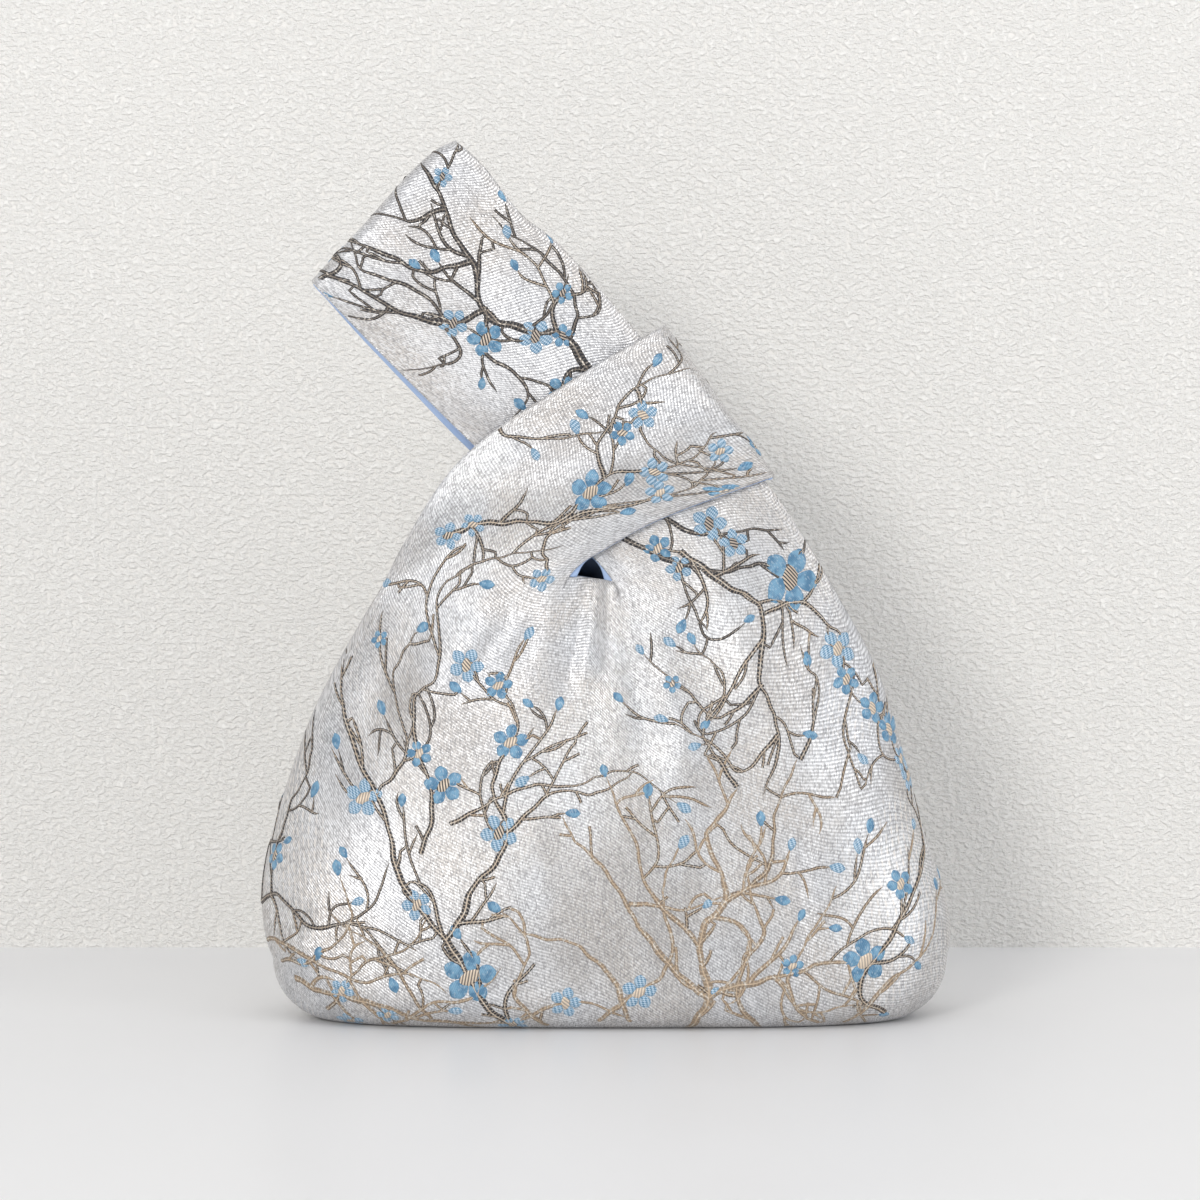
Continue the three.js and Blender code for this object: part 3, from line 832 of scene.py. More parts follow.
def cloth_mesh(name: str, points: Array, faces: Sequence[Sequence[int]], face: Face,
               maps: dict[str, Array], tones: dict[str, Array]) -> Piece:
    """Makes a smooth mesh object in the scene.

    Args:
        name: The object's name.
        points: Its points in metres.
        faces: Point numbers round each face, as seen from the front of the bag.
        face: The bag's face that it lies on, which settles the winding.
        maps: UV maps by name, one pair for each point.
        tones: Numbers for each point, by attribute name.

    Returns:
        The object.
    """
    wound = [tuple(loop) if face is Face.FRONT else tuple(reversed(loop)) for loop in faces]
    mesh = bpy.data.meshes.new(name)
    mesh.from_pydata(points.tolist(), [], wound)
    corners = np.empty(len(mesh.loops), np.int32)
    mesh.loops.foreach_get("vertex_index", corners)
    for label, pairs in maps.items():
        layer = mesh.uv_layers.new(name=label)
        layer.data.foreach_set("uv", pairs[corners].astype(np.float32).reshape(-1))
    mesh.polygons.foreach_set("use_smooth", np.ones(len(mesh.polygons), bool))
    made = bpy.data.objects.new(name, mesh)
    for label, values in tones.items():
        note(made, label, values)
    mesh.validate()
    bpy.context.scene.collection.objects.link(made)
    return made


@dataclass(frozen=True)
class ClothPly:
    """One ply of a panel between two depths below the skin, with softly rounded edges."""

    outside: float
    thickness: float
    seam_reach: float
    hem_reach: float
    mouth_reach: float
    mouth_flare: float = 0.0
    flare_run: float = 11.0
    hem_bulge: float = 0.3
    seam_share: float = 0.25

    def build(self, name: str, skin: PanelSkin) -> Piece:
        """Builds the ply as a closed mesh.

        Args:
            name: The object's name.
            skin: The panel that it follows.

        Returns:
            The ply, with its flat cut as the UV map "cut".
        """
        count = len(skin.points)
        edge = np.array(list(skin.rims))
        inner, mouth = (np.array(list(column)) for column in zip(*skin.rims.values()))
        outward = unit(skin.points[edge] - skin.points[inner])
        reach = np.where(mouth, self.mouth_reach, np.where(skin.seam[edge], self.seam_reach, self.hem_reach))
        reach = reach + self.mouth_flare * skin.mouth_run(edge, self.flare_run)
        moved = skin.points.copy()
        moved[edge] += outward * reach[:, None]
        front = moved - skin.normals * self.outside
        back = moved - skin.normals * (self.outside + self.thickness)
        bulge = min(self.hem_bulge, 0.5 * self.thickness) * np.where(skin.seam[edge], self.seam_share, 1.0)
        inward = skin.normals[edge] * (self.outside + self.thickness / 2)
        points = np.vstack([front, back, moved[edge] - inward + outward * bulge[:, None]])
        cut = np.vstack([skin.cut, skin.cut, skin.cut[edge]])
        depth = np.concatenate([np.zeros(count), np.ones(count), np.full(len(edge), 0.5)])
        faces = skin.patches.tolist() + (skin.patches[:, ::-1] + count).tolist() + self.rim_faces(skin, edge)
        return cloth_mesh(name, skin.turned(points), faces, skin.face, {"cut": cut * MM}, {"inside": depth})

    @staticmethod
    def rim_faces(skin: PanelSkin, edge: Array) -> list[list[int]]:
        """Joins the outside and the inside of a ply round its edge.

        Args:
            skin: The panel.
            edge: The numbers of its points on an open edge.

        Returns:
            Point numbers round each face of the rim.
        """
        count = len(skin.points)
        rim_number = {int(k): 2 * count + place for place, k in enumerate(edge)}
        open_sides: dict[tuple[int, int], None] = {}
        for loop in skin.patches.tolist():
            for side in zip(loop, loop[1:] + loop[:1]):
                if side[::-1] in open_sides:
                    del open_sides[side[::-1]]
                else:
                    open_sides[side] = None
        faces = []
        for a, b in open_sides:
            faces.append([a, rim_number[a], rim_number[b], b])
            faces.append([rim_number[a], a + count, b + count, rim_number[b]])
        return faces


class FlatCloth:
    """Finds where a place on the flat cut lies on the folded panel."""

    ROUNDS = 7
    LONGEST_STEP = 1.5
    NEAR_ENOUGH = 0.35
    LEG_BORDER = -5

    def __init__(self, skin: PanelSkin) -> None:
        """Prepares the search over both legs of a panel.

        Args:
            skin: The panel.
        """
        self.skin = skin
        self.surface = np.hstack([skin.points, skin.normals])
        self.trees: dict[Leg, tuple[kdtree.KDTree, Array]] = {}
        for leg, numbers in skin.legs.items():
            cells = np.argwhere(numbers >= 0)
            tree = kdtree.KDTree(len(cells))
            for k, (row, column) in enumerate(cells.tolist()):
                tree.insert((*skin.cut[numbers[row, column]], 0), k)
            tree.balance()
            self.trees[leg] = (tree, cells)

    @staticmethod
    def cell(numbers: Array, place: Array) -> Array:
        """Returns the row and column below each place, short of the last ones."""
        return np.clip(np.floor(place).astype(int), 0, np.array(numbers.shape) - 2)

    def sample(self, numbers: Array, place: Array, values: Array) -> Array:
        """Mixes values between the four points round each place.

        Args:
            numbers: Point numbers by row and column.
            place: A row and a column for each place, with fractions.
            values: What each point of the panel holds.

        Returns:
            The mixed values, NaN off the cloth.
        """
        low = self.cell(numbers, place)
        share = np.clip(place - low, -0.001, 1.001)
        ids = [numbers[low[:, 0] + a, low[:, 1] + b] for a, b in ((0, 0), (0, 1), (1, 0), (1, 1))]
        parts = [values[np.maximum(k, 0)] for k in ids]
        r, c = share[:, :1], share[:, 1:]
        mixed = lerp(lerp(parts[0], parts[1], c), lerp(parts[2], parts[3], c), r)
        mixed[np.any([k < 0 for k in ids], axis=0)] = np.nan
        return mixed

    def slope(self, numbers: Array, place: Array, axis: int) -> Array:
        """Returns how the flat cut changes along a row or a column at each place.

        Args:
            numbers: The points by row and column.
            place: Each place's row and column.
            axis: 0 for the step to the next row, 1 for the next column.

        Returns:
            The change on the cut, and no number where there is no cloth.
        """
        low = self.cell(numbers, place)
        high = low.copy()
        high[:, axis] += 1
        a, b = numbers[low[:, 0], low[:, 1]], numbers[high[:, 0], high[:, 1]]
        change = self.skin.cut[np.maximum(b, 0)] - self.skin.cut[np.maximum(a, 0)]
        change[(a < 0) | (b < 0)] = np.nan
        return change

    def find(self, leg: Leg, spots: Array) -> Array:
        """Finds spots of the flat cut by Newton's steps from the nearest point.

        Args:
            leg: The leg of the panel to look on.
            spots: Places on the flat cut.

        Returns:
            The row and column of each, NaN off the cloth.
        """
        numbers = self.skin.legs[leg]
        tree, cells = self.trees[leg]
        place = np.array([cells[tree.find((u, v, 0))[1]] for u, v in spots.tolist()], float)
        top = np.array(numbers.shape) - 1.0
        for _ in range(self.ROUNDS):
            here = self.sample(numbers, place, self.skin.cut)
            lost = np.isnan(here[:, 0])
            if lost.any():
                here[lost] = self.sample(numbers, np.clip(place[lost] - 0.5, 0, top - 1), self.skin.cut)
            by_row, by_column = (self.slope(numbers, place, axis) for axis in (0, 1))
            gap = spots - here
            area = by_row[:, 0] * by_column[:, 1] - by_row[:, 1] * by_column[:, 0]
            area = np.where(np.abs(area) < 1e-6, 1e-6, area)
            step = np.stack([
                (gap[:, 0] * by_column[:, 1] - gap[:, 1] * by_column[:, 0]) / area,
                (by_row[:, 0] * gap[:, 1] - by_row[:, 1] * gap[:, 0]) / area,
            ], axis=1)
            step = np.nan_to_num(np.clip(step, -self.LONGEST_STEP, self.LONGEST_STEP))
            place = np.clip(place + step, 0, top)
        final = self.sample(numbers, place, self.skin.cut)
        away = np.linalg.norm(np.nan_to_num(final) - spots, axis=1)
        place[np.isnan(final[:, 0]) | (away > self.NEAR_ENOUGH)] = np.nan
        return place

    def true_size(self, places: Array) -> Array:
        """Returns each place's matrix from steps of a true-sized drawing to steps on the cut.

        Args:
            places: The places on the cut.

        Returns:
            One matrix for each place.
        """
        level = np.zeros(len(places))
        here = self.lay(places, level)
        steps = [self.lay(places + step, level) - here for step in ((1.0, 0.0), (0.0, 1.0))]
        steps = np.stack(steps, axis=-1)
        shapes = np.swapaxes(steps, 1, 2) @ steps
        shapes[np.isnan(shapes).any(axis=(1, 2))] = np.eye(2)
        sizes, ways = np.linalg.eigh(shapes)
        return (ways / np.sqrt(np.clip(sizes, 0.4, 2.5))[:, None]) @ np.swapaxes(ways, 1, 2)

    def lay(self, spots: Array, heights: Array) -> Array:
        """Lays spots of the flat cut on the folded cloth.

        Args:
            spots: Places on the flat cut, in millimetres.
            heights: How far each stands above the cloth.

        Returns:
            Their places in space before the panel is turned to its face, NaN where the cut has no cloth.
        """
        laid = np.full((len(spots), 3), np.nan)
        on_short = spots[:, 0] < self.LEG_BORDER
        for leg, chosen in ((Leg.SHORT, on_short), (Leg.LONG, ~on_short)):
            if not chosen.any():
                continue
            place = self.find(leg, spots[chosen])
            known = ~np.isnan(place[:, 0])
            found = self.sample(self.skin.legs[leg], place[known], self.surface)
            part = np.full((len(place), 3), np.nan)
            lift = heights[chosen][known] * smoothstep(found[:, 2], 0.3, 5)
            part[known] = found[:, :3] + unit(found[:, 3:]) * lift[:, None]
            laid[chosen] = part
        return laid


@dataclass(frozen=True)
class Bough:
    """A bough that is laid on the flat cut, from which finer twigs grow."""

    path: tuple[Place, ...]
    width: float
    tone: float
    side_length: float

    @classmethod
    def row(cls, width: float, tone: float, side_length: float, *path: float) -> "Bough":
        """Returns the bough of one row of a layout, with its path as u, v, u, v in millimetres."""
        return cls(tuple(zip(path[::2], path[1::2])), width, tone, side_length)


@dataclass(frozen=True)
class Cluster:
    """A loose group of blossoms round a place of the flat cut."""

    u: float
    v: float
    spread: float
    count: int
    size: float


@dataclass(frozen=True)
class Twig:
    """One grown twig on the flat cut, tapering along its path."""

    path: Array
    widths: Array
    tone: float
    free_end: bool


class Petals(Enum):
    """How a blossom's petals are woven."""

    SATIN = 0.0
    CHECK = 1.0


@dataclass(frozen=True)
class Blossom:
    """One five-petalled blossom on the flat cut."""

    place: Place
    size: float
    turn: float
    petals: Petals
    dark_heart: float


@dataclass(frozen=True)
class Bud:
    """One closed bud on the flat cut."""

    place: Place
    turn: float
    length: float
    petals: Petals


class ClothMask:
    """Where the flat cut has cloth, and which twig already runs there, on a one-millimetre grid."""

    ORIGIN = (-170, -5)
    SHAPE = (340, 420)
    FILL = (0.0, 0.35, 0.65, 1.0)
    REACH = 2

    def __init__(self, skin: PanelSkin) -> None:
        """Marks the cells that a panel's cut covers."""
        self.cloth = np.zeros(self.SHAPE, bool)
        self.taken = np.full(self.SHAPE, -1)
        corners = skin.cut[skin.patches]
        for a in self.FILL:
            left, right = lerp(corners[:, 0], corners[:, 1], a), lerp(corners[:, 3], corners[:, 2], a)
            for b in self.FILL:
                u, v = self.cell(lerp(left, right, b))
                self.cloth[np.clip(u, 0, self.SHAPE[0] - 1), np.clip(v, 0, self.SHAPE[1] - 1)] = True

    def cell(self, spots: Array) -> tuple[Array, Array]:
        """Returns the grid cells of places on the cut."""
        u, v = np.floor(spots[..., 0]).astype(int), np.floor(spots[..., 1]).astype(int)
        return u - self.ORIGIN[0], v - self.ORIGIN[1]

    def has_cloth(self, spot: Array) -> bool:
        """Returns whether the cut has cloth at a place."""
        u, v = self.cell(spot)
        return bool(0 <= u < self.SHAPE[0] and 0 <= v < self.SHAPE[1] and self.cloth[u, v])

    def twig_near(self, spot: Array, own: int, parent: int) -> Array | None:
        """Looks for another twig that runs within about two millimetres.

        Args:
            spot: The place to look round.
            own: The number of the twig that asks.
            parent: The number of the one that it leaves.

        Returns:
            The nearest place of the other twig, if there is one.
        """
        u, v = self.cell(spot)
        low_u, low_v = max(u - self.REACH, 0), max(v - self.REACH, 0)
        block = self.taken[low_u:u + self.REACH + 1, low_v:v + self.REACH + 1]
        found = np.argwhere((block >= 0) & (block != own) & (block != parent))
        if not len(found):
            return None
        places = found + (low_u + self.ORIGIN[0] + 0.5, low_v + self.ORIGIN[1] + 0.5)
        return places[int(np.argmin(np.linalg.norm(places - spot, axis=1)))]

    def take(self, path: Array, own: int) -> None:
        """Marks the places of a path as run through by a twig."""
        for spot in path:
            u, v = self.cell(spot)
            if 0 <= u < self.SHAPE[0] and 0 <= v < self.SHAPE[1]:
                self.taken[u, v] = own


class PlumTree:
    """Grows twigs from listed boughs over the flat cut, and sets blossoms and buds on them."""

    STEP = 1.1
    WAVES = (31.0, 17.0, 8.5)
    BOUGH_WANDER = 0.6
    BOUGH_TAPER = 0.62
    TWIG_TAPER = 0.4
    TWIG_WIDTHS = (1.12, 1.9)
    TWIG_GAPS = (11.5, 11.5, 11.0)
    TWIG_SHARE = 0.62
    FORK_ANGLES = (28, 62)
    BLOSSOM_SIZES = (0.6, 0.98)
    CHECKED_BLOSSOMS = 0.38
    CHECKED_BUDS = 0.3
    BUD_LENGTHS = (4.2, 5.6)
    BUD_SPACE = 6
    TRIES = 60

    def __init__(self, mask: ClothMask, seed: int) -> None:
        """Starts with bare cloth.

        Args:
            mask: Where there is cloth.
            seed: Settles every chance of the growth.
        """
        self.mask = mask
        self.rng = np.random.default_rng(seed)
        self.twigs: list[Twig] = []
        self.blossoms: list[Blossom] = []
        self.buds: list[Bud] = []

    def lay(self, bough: Bough) -> None:
        """Lays a bough with a slightly wandering path, and grows twigs from its sides."""
        curve = StrapEdge(bough.path)
        length = float(np.sum(np.linalg.norm(np.diff(curve.walk, axis=0), axis=1)))
        steps = max(int(length / self.STEP), 8)
        path = np.array([curve(k / steps) for k in range(steps + 1)])
        path += self.wander(len(path), self.BOUGH_WANDER)
        taper = 1 - self.BOUGH_TAPER * np.linspace(0, 1, len(path))
        widths = bough.width * taper * (1 + 0.12 * self.wander(len(path), 1.0)[:, 0])
        self.keep(Twig(path, widths, bough.tone, True), bough.side_length, 0)

    def keep(self, twig: Twig, length: float, depth: int) -> None:
        """Keeps a twig, and grows twigs of about a length from its sides where it isn't too deep.

        Args:
            twig: The twig.
            length: How long its own twigs are, about.
            depth: How many twigs lie between it and its bough.
        """
        number = len(self.twigs)
        self.twigs.append(twig)
        self.mask.take(twig.path, number)
        if depth < len(self.TWIG_GAPS):
            self.sprout(twig, length, number, depth)

    def wander(self, count: int, amount: float) -> Array:
        """Returns a smooth random drift for each of a number of steps.

        Args:
            count: How many steps.
            amount: How far it strays.

        Returns:
            The drift, across and up, at each step.
        """
        along = np.arange(count)[:, None] * self.STEP
        drift = np.zeros((count, 2))
        for wave in self.WAVES:
            phase = self.rng.uniform(0, 2 * math.pi, 2)
            drift += np.sin(2 * math.pi * along / wave + phase) * wave / self.WAVES[0]
        return drift * amount

    def sprout(self, twig: Twig, length: float, number: int, depth: int) -> None:
        """Grows side twigs along a twig, left and right in turn.

        Args:
            twig: The twig that they leave.
            length: The usual length of a side twig.
            number: The twig's own number.
            depth: How many forks lie below it.
        """
        path, gap = twig.path, self.TWIG_GAPS[depth]
        least, most = self.TWIG_WIDTHS
        side = 1 if self.rng.random() < 0.5 else -1
        k = int(self.rng.uniform(0.4, 1.0) * gap / self.STEP)
        while k < len(path) - 3:
            along = path[min(k + 2, len(path) - 1)] - path[max(k - 2, 0)]
            angle = math.atan2(along[1], along[0]) + side * math.radians(self.rng.uniform(*self.FORK_ANGLES))
            reach = length * self.rng.uniform(0.55, 1.5) * (1 - 0.3 * k / len(path))
            places, free = self.grow(path[k], angle, reach, number, side)
            if len(places) > 4:
                taper = 1 - self.TWIG_TAPER * np.linspace(0, 1, len(places))
                widths = np.maximum(min(twig.widths[k] * 0.8, most) * taper, least)
                tone = float(np.clip(twig.tone + self.rng.normal(0, 0.12), 0, 1))
                self.keep(Twig(places, widths, tone, free), reach * self.TWIG_SHARE, depth + 1)
            side = -side if self.rng.random() < 0.8 else side
            k += max(int(gap * self.rng.uniform(0.55, 1.5) / self.STEP), 3)

    def grow(self, start: Array, angle: float, length: float, parent: int, side: int) -> tuple[Array, bool]:
        """Grows one path until it is long enough, meets a twig or leaves the cloth.

        Args:
            start: Where it leaves its parent.
            angle: The way that it sets off.
            length: How long it would like to be.
            parent: The number of the twig that it leaves.
            side: 1 where it leaves to the left, and -1 to the right.

        Returns:
            The path, and whether its end is free.
        """
        number = len(self.twigs)
        path, turn = [start], 0.0
        bend = math.radians(-side * self.rng.uniform(0.4, 2.6))
        for k in range(max(int(length / self.STEP), 4)):
            turn = 0.84 * turn + self.rng.normal(0, 0.042)
            angle += turn + bend
            spot = path[-1] + self.STEP * np.array([math.cos(angle), math.sin(angle)])
            if not self.mask.has_cloth(spot):
                return np.array(path), False
            path.append(spot)
            met = self.mask.twig_near(spot, number, parent if k < 7 else number) if k > 3 else None
            if met is not None:
                onward = np.dot(met - spot, spot - path[-2]) > 0
                return np.array(path + [met] if onward else path), False
        return np.array(path), True

    def set_blossoms(self, clusters: Sequence[Cluster]) -> None:
        """Sets blossoms on the twigs nearest to each cluster, never on top of one another.

        Args:
            clusters: Where they gather.
        """
        steps = np.concatenate([twig.path for twig in self.twigs])
        darkness = np.concatenate([np.full(len(twig.path), twig.tone) for twig in self.twigs])
        for cluster in clusters:
            placed, tries = 0, 0
            while placed < cluster.count and tries < self.TRIES:
                tries += 1
                loose = self.rng.normal(0, cluster.spread, 2) * (0.2 if placed == 0 else 1)
                aim = np.array((cluster.u, cluster.v)) + loose
                k = int(np.argmin(np.linalg.norm(steps - aim, axis=1)))
                spot = steps[k]
                size = cluster.size * float(self.rng.uniform(*self.BLOSSOM_SIZES))
                near = [b for b in self.blossoms if math.dist(b.place, spot) < 0.46 * (b.size + size)]
                if near or not self.mask.has_cloth(spot):
                    continue
                petals = Petals.CHECK if self.rng.random() < self.CHECKED_BLOSSOMS else Petals.SATIN
                heart = float(np.clip(darkness[k] * 1.2 - 0.15 + self.rng.normal(0, 0.1), 0, 1))
                turn = float(self.rng.uniform(0, 72))
                self.blossoms.append(Blossom(tuple(spot.tolist()), size, turn, petals, heart))
                placed += 1

    def set_buds(self, share: float) -> None:
        """Closes a share of the free twig ends with a bud.

        Args:
            share: The share of the ends.
        """
        for twig in self.twigs:
            if not twig.free_end or self.rng.random() > share:
                continue
            end, before = twig.path[-1], twig.path[-4]
            if any(math.dist(b.place, end) < 0.5 * b.size + 3 for b in self.blossoms):
                continue
            if any(math.dist(b.place, end) < self.BUD_SPACE for b in self.buds):
                continue
            angle = math.atan2(end[1] - before[1], end[0] - before[0])
            length = float(self.rng.uniform(*self.BUD_LENGTHS))
            petals = Petals.CHECK if self.rng.random() < self.CHECKED_BUDS else Petals.SATIN
            spot = end + 0.35 * length * np.array([math.cos(angle), math.sin(angle)])
            self.buds.append(Bud(tuple(spot.tolist()), math.degrees(angle), length, petals))


@dataclass
class Weaving:
    """Low relief that is gathered before it is laid on the cloth as one mesh."""

    spots: list[Array] = field(default_factory=list)
    roots: list[Array] = field(default_factory=list)
    heights: list[Array] = field(default_factory=list)
    grain: list[Array] = field(default_factory=list)
    tones: list[Array] = field(default_factory=list)
    patches: list[Array] = field(default_factory=list)
    count: int = 0

    def add_strip(self, spots: Array, roots: Array, heights: Array, grain: tuple[Array, Array],
                  tone: float) -> None:
        """Adds a strip of rows and columns.

        Args:
            spots: Places on the flat cut, by row and column.
            roots: The places from which they are drawn in true size.
            heights: Their heights above the cloth.
            grain: The thread's own place, across and along, in millimetres.
            tone: How dark, or how much of the other weave, the strip is.
        """
        self.patches.append(weave(self.count + np.arange(heights.size).reshape(heights.shape)))
        self.spots.append(spots.reshape(-1, 2))
        self.roots.append(np.broadcast_to(roots, spots.shape).reshape(-1, 2))
        self.heights.append(heights.reshape(-1))
        self.grain.append(np.stack(np.broadcast_arrays(*grain), axis=-1).reshape(-1, 2))
        self.tones.append(np.full(heights.size, tone))
        self.count += heights.size

    def build(self, name: str, cloth: FlatCloth) -> Piece:
        """Lays the gathered strips on the cloth.

        Args:
            name: The object's name.
            cloth: The folded panel.

        Returns:
            The relief, with its UV maps "grain" and "cut" and its attribute "tone".
        """
        spots, grain, patches = np.vstack(self.spots), np.vstack(self.grain), np.vstack(self.patches)
        places, which = np.unique(np.vstack(self.roots), axis=0, return_inverse=True)
        which = which.reshape(-1)
        roots = places[which]
        spots = roots + np.einsum("nij,nj->ni", cloth.true_size(places)[which], spots - roots)
        laid = cloth.lay(spots, np.concatenate(self.heights))
        held = ~np.isnan(laid[:, 0])
        faces = (np.cumsum(held) - 1)[patches[held[patches].all(axis=1)]].tolist()
        maps = {"grain": grain[held] * MM, "cut": spots[held] * MM}
        tones = {"tone": np.concatenate(self.tones)[held]}
        return cloth_mesh(name, cloth.skin.turned(laid[held]), faces, cloth.skin.face, maps, tones)


@dataclass(frozen=True)
class WovenBoughs:
    """Boughs and twigs as domed ribbons of close stitches."""

    crown: float = 0.26
    sunk: float = 0.1
    section: tuple[float, ...] = (-1.0, -0.62, 0.0, 0.62, 1.0)
    point: float = 0.25

    def weave(self, twigs: Sequence[Twig]) -> Weaving:
        """Weaves the ribbon of every twig.

        Args:
            twigs: The twigs.

        Returns:
            The gathered ribbons.
        """
        made, section = Weaving(), np.array(self.section)
        dome = np.cos(section * math.pi / 2 * 0.98)
        for twig in twigs:
            along = unit(np.gradient(twig.path, axis=0))
            aside = np.stack([along[:, 1], -along[:, 0]], axis=1)
            half = twig.widths / 2
            if twig.free_end:
                half = half * np.maximum(smoothstep(np.arange(len(half))[::-1], -1, 3), self.point)
            spots = twig.path[:, None] + aside[:, None] * half[:, None, None] * section[None, :, None]
            crown = self.crown * np.clip(half / 0.6, 0.7, 1.5)
            heights = -self.sunk + (crown[:, None] + self.sunk) * dome[None] ** 0.6
            grain = (section[None], lengths_along(twig.path)[:, None])
            made.add_strip(spots, twig.path[:, None], heights, grain, twig.tone)
        return made


PAD_SPACING = 3.0


@dataclass(frozen=True)
class WovenPetals:
    """Blossoms' petals and buds as raised pads of long stitches."""

    crown: float = 0.42
    sunk: float = 0.1
    crease: float = 0.12
    rows: int = 9
    columns: int = 7
    petals: int = 5
    petal_root: float = 0.14
    petal_length: float = 0.88
    petal_half_width: float = 0.37
    notch: float = 0.12
    bud_half_width: float = 0.33

    def pad(self, made: Weaving, flower: Blossom | Bud, number: int, angle: float, root: float, size: Place,
            notch: float = 0.0) -> None:
        """Adds one petal-shaped pad.

        Args:
            made: The weaving that takes it.
            flower: The blossom or bud that it belongs to.
            number: Its own number, which shifts its grain so that no two petals look alike.
            angle: Its direction in degrees.
            root: How far from its flower's middle it starts.
            size: Its length and half its greatest width.
            notch: How deep its tip is cut in, as a share of its length.
        """
        along, aside = heading(angle), heading(angle - 90)
        t = np.linspace(-1, 1, self.columns)[None]
        s = (1 - (1 - np.linspace(0, 1, self.rows)) ** 1.5)[:, None]
        swell = np.sin(math.pi * np.clip(0.05 + 0.95 * s, 0, 1) ** 1.35) ** 0.5
        tip = 1 - notch * np.exp(-(t / 0.3) ** 2) - 0.1 * np.abs(t) ** 3
        reach = s * (1 + (tip - 1) * s ** 2)
        start = np.array(flower.place) + root * along
        spots = start + size[0] * reach[..., None] * along + size[1] * (swell * t)[..., None] * aside
        dome = np.sqrt(np.maximum(1 - t ** 2, 0)) * np.sin(math.pi * np.clip(0.06 + 0.9 * s, 0, 1)) ** 0.5
        heights = -self.sunk + (self.crown + self.sunk) * dome - self.crease * np.exp(-(t / 0.22) ** 2) * s
        grain = (t + PAD_SPACING * number, reach * size[0])
        made.add_strip(spots, np.array(flower.place), heights, grain, flower.petals.value)

    def weave(self, blossoms: Sequence[Blossom], buds: Sequence[Bud]) -> Weaving:
        """Weaves every petal and bud.

        Args:
            blossoms: The blossoms.
            buds: The buds.

        Returns:
            The gathered pads.
        """
        made = Weaving()
        for number, blossom in enumerate(blossoms):
            radius = blossom.size / 2
            size = (self.petal_length * radius, self.petal_half_width * radius)
            for k in range(self.petals):
                angle = blossom.turn + 360 / self.petals * k
                place, root = self.petals * number + k, self.petal_root * radius
                self.pad(made, blossom, place, angle, root, size, self.notch)
        for number, bud in enumerate(buds):
            size = (bud.length, self.bud_half_width * bud.length)
            self.pad(made, bud, number, bud.turn, -0.5 * bud.length, size)
        return made


@dataclass(frozen=True)
class WovenHearts:
    """Blossoms' hearts as small ribbed ovals above the petals."""

    crown: float = 0.56
    foot: float = 0.1
    share: float = 0.32
    oval: Place = (0.86, 1.3)
    turn: float = 20

    def weave(self, blossoms: Sequence[Blossom]) -> Weaving:
        """Weaves the heart of every blossom.

        Args:
            blossoms: The blossoms.

        Returns:
            The gathered hearts.
        """
        made = Weaving()
        t, s = np.linspace(-1, 1, 7)[None], np.linspace(-1, 1, 9)[:, None]
        dome = np.sqrt(np.maximum(1 - t ** 2, 0)) * np.sqrt(np.maximum(1 - 0.97 * s ** 2, 0))
        heights = self.foot + (self.crown - self.foot) * np.sqrt(dome)
        for blossom in blossoms:
            radius, turn = blossom.size / 2 * self.share, blossom.turn + self.turn
            across = t * np.sqrt(np.maximum(1 - 0.96 * s ** 2, 0)) * radius * self.oval[0]
            along = s * radius * self.oval[1] * np.ones_like(t)
            middle = np.array(blossom.place)
            spots = middle + along[..., None] * heading(turn) + across[..., None] * heading(turn - 90)
            made.add_strip(spots, middle, heights, (across, along), blossom.dark_heart)
        return made


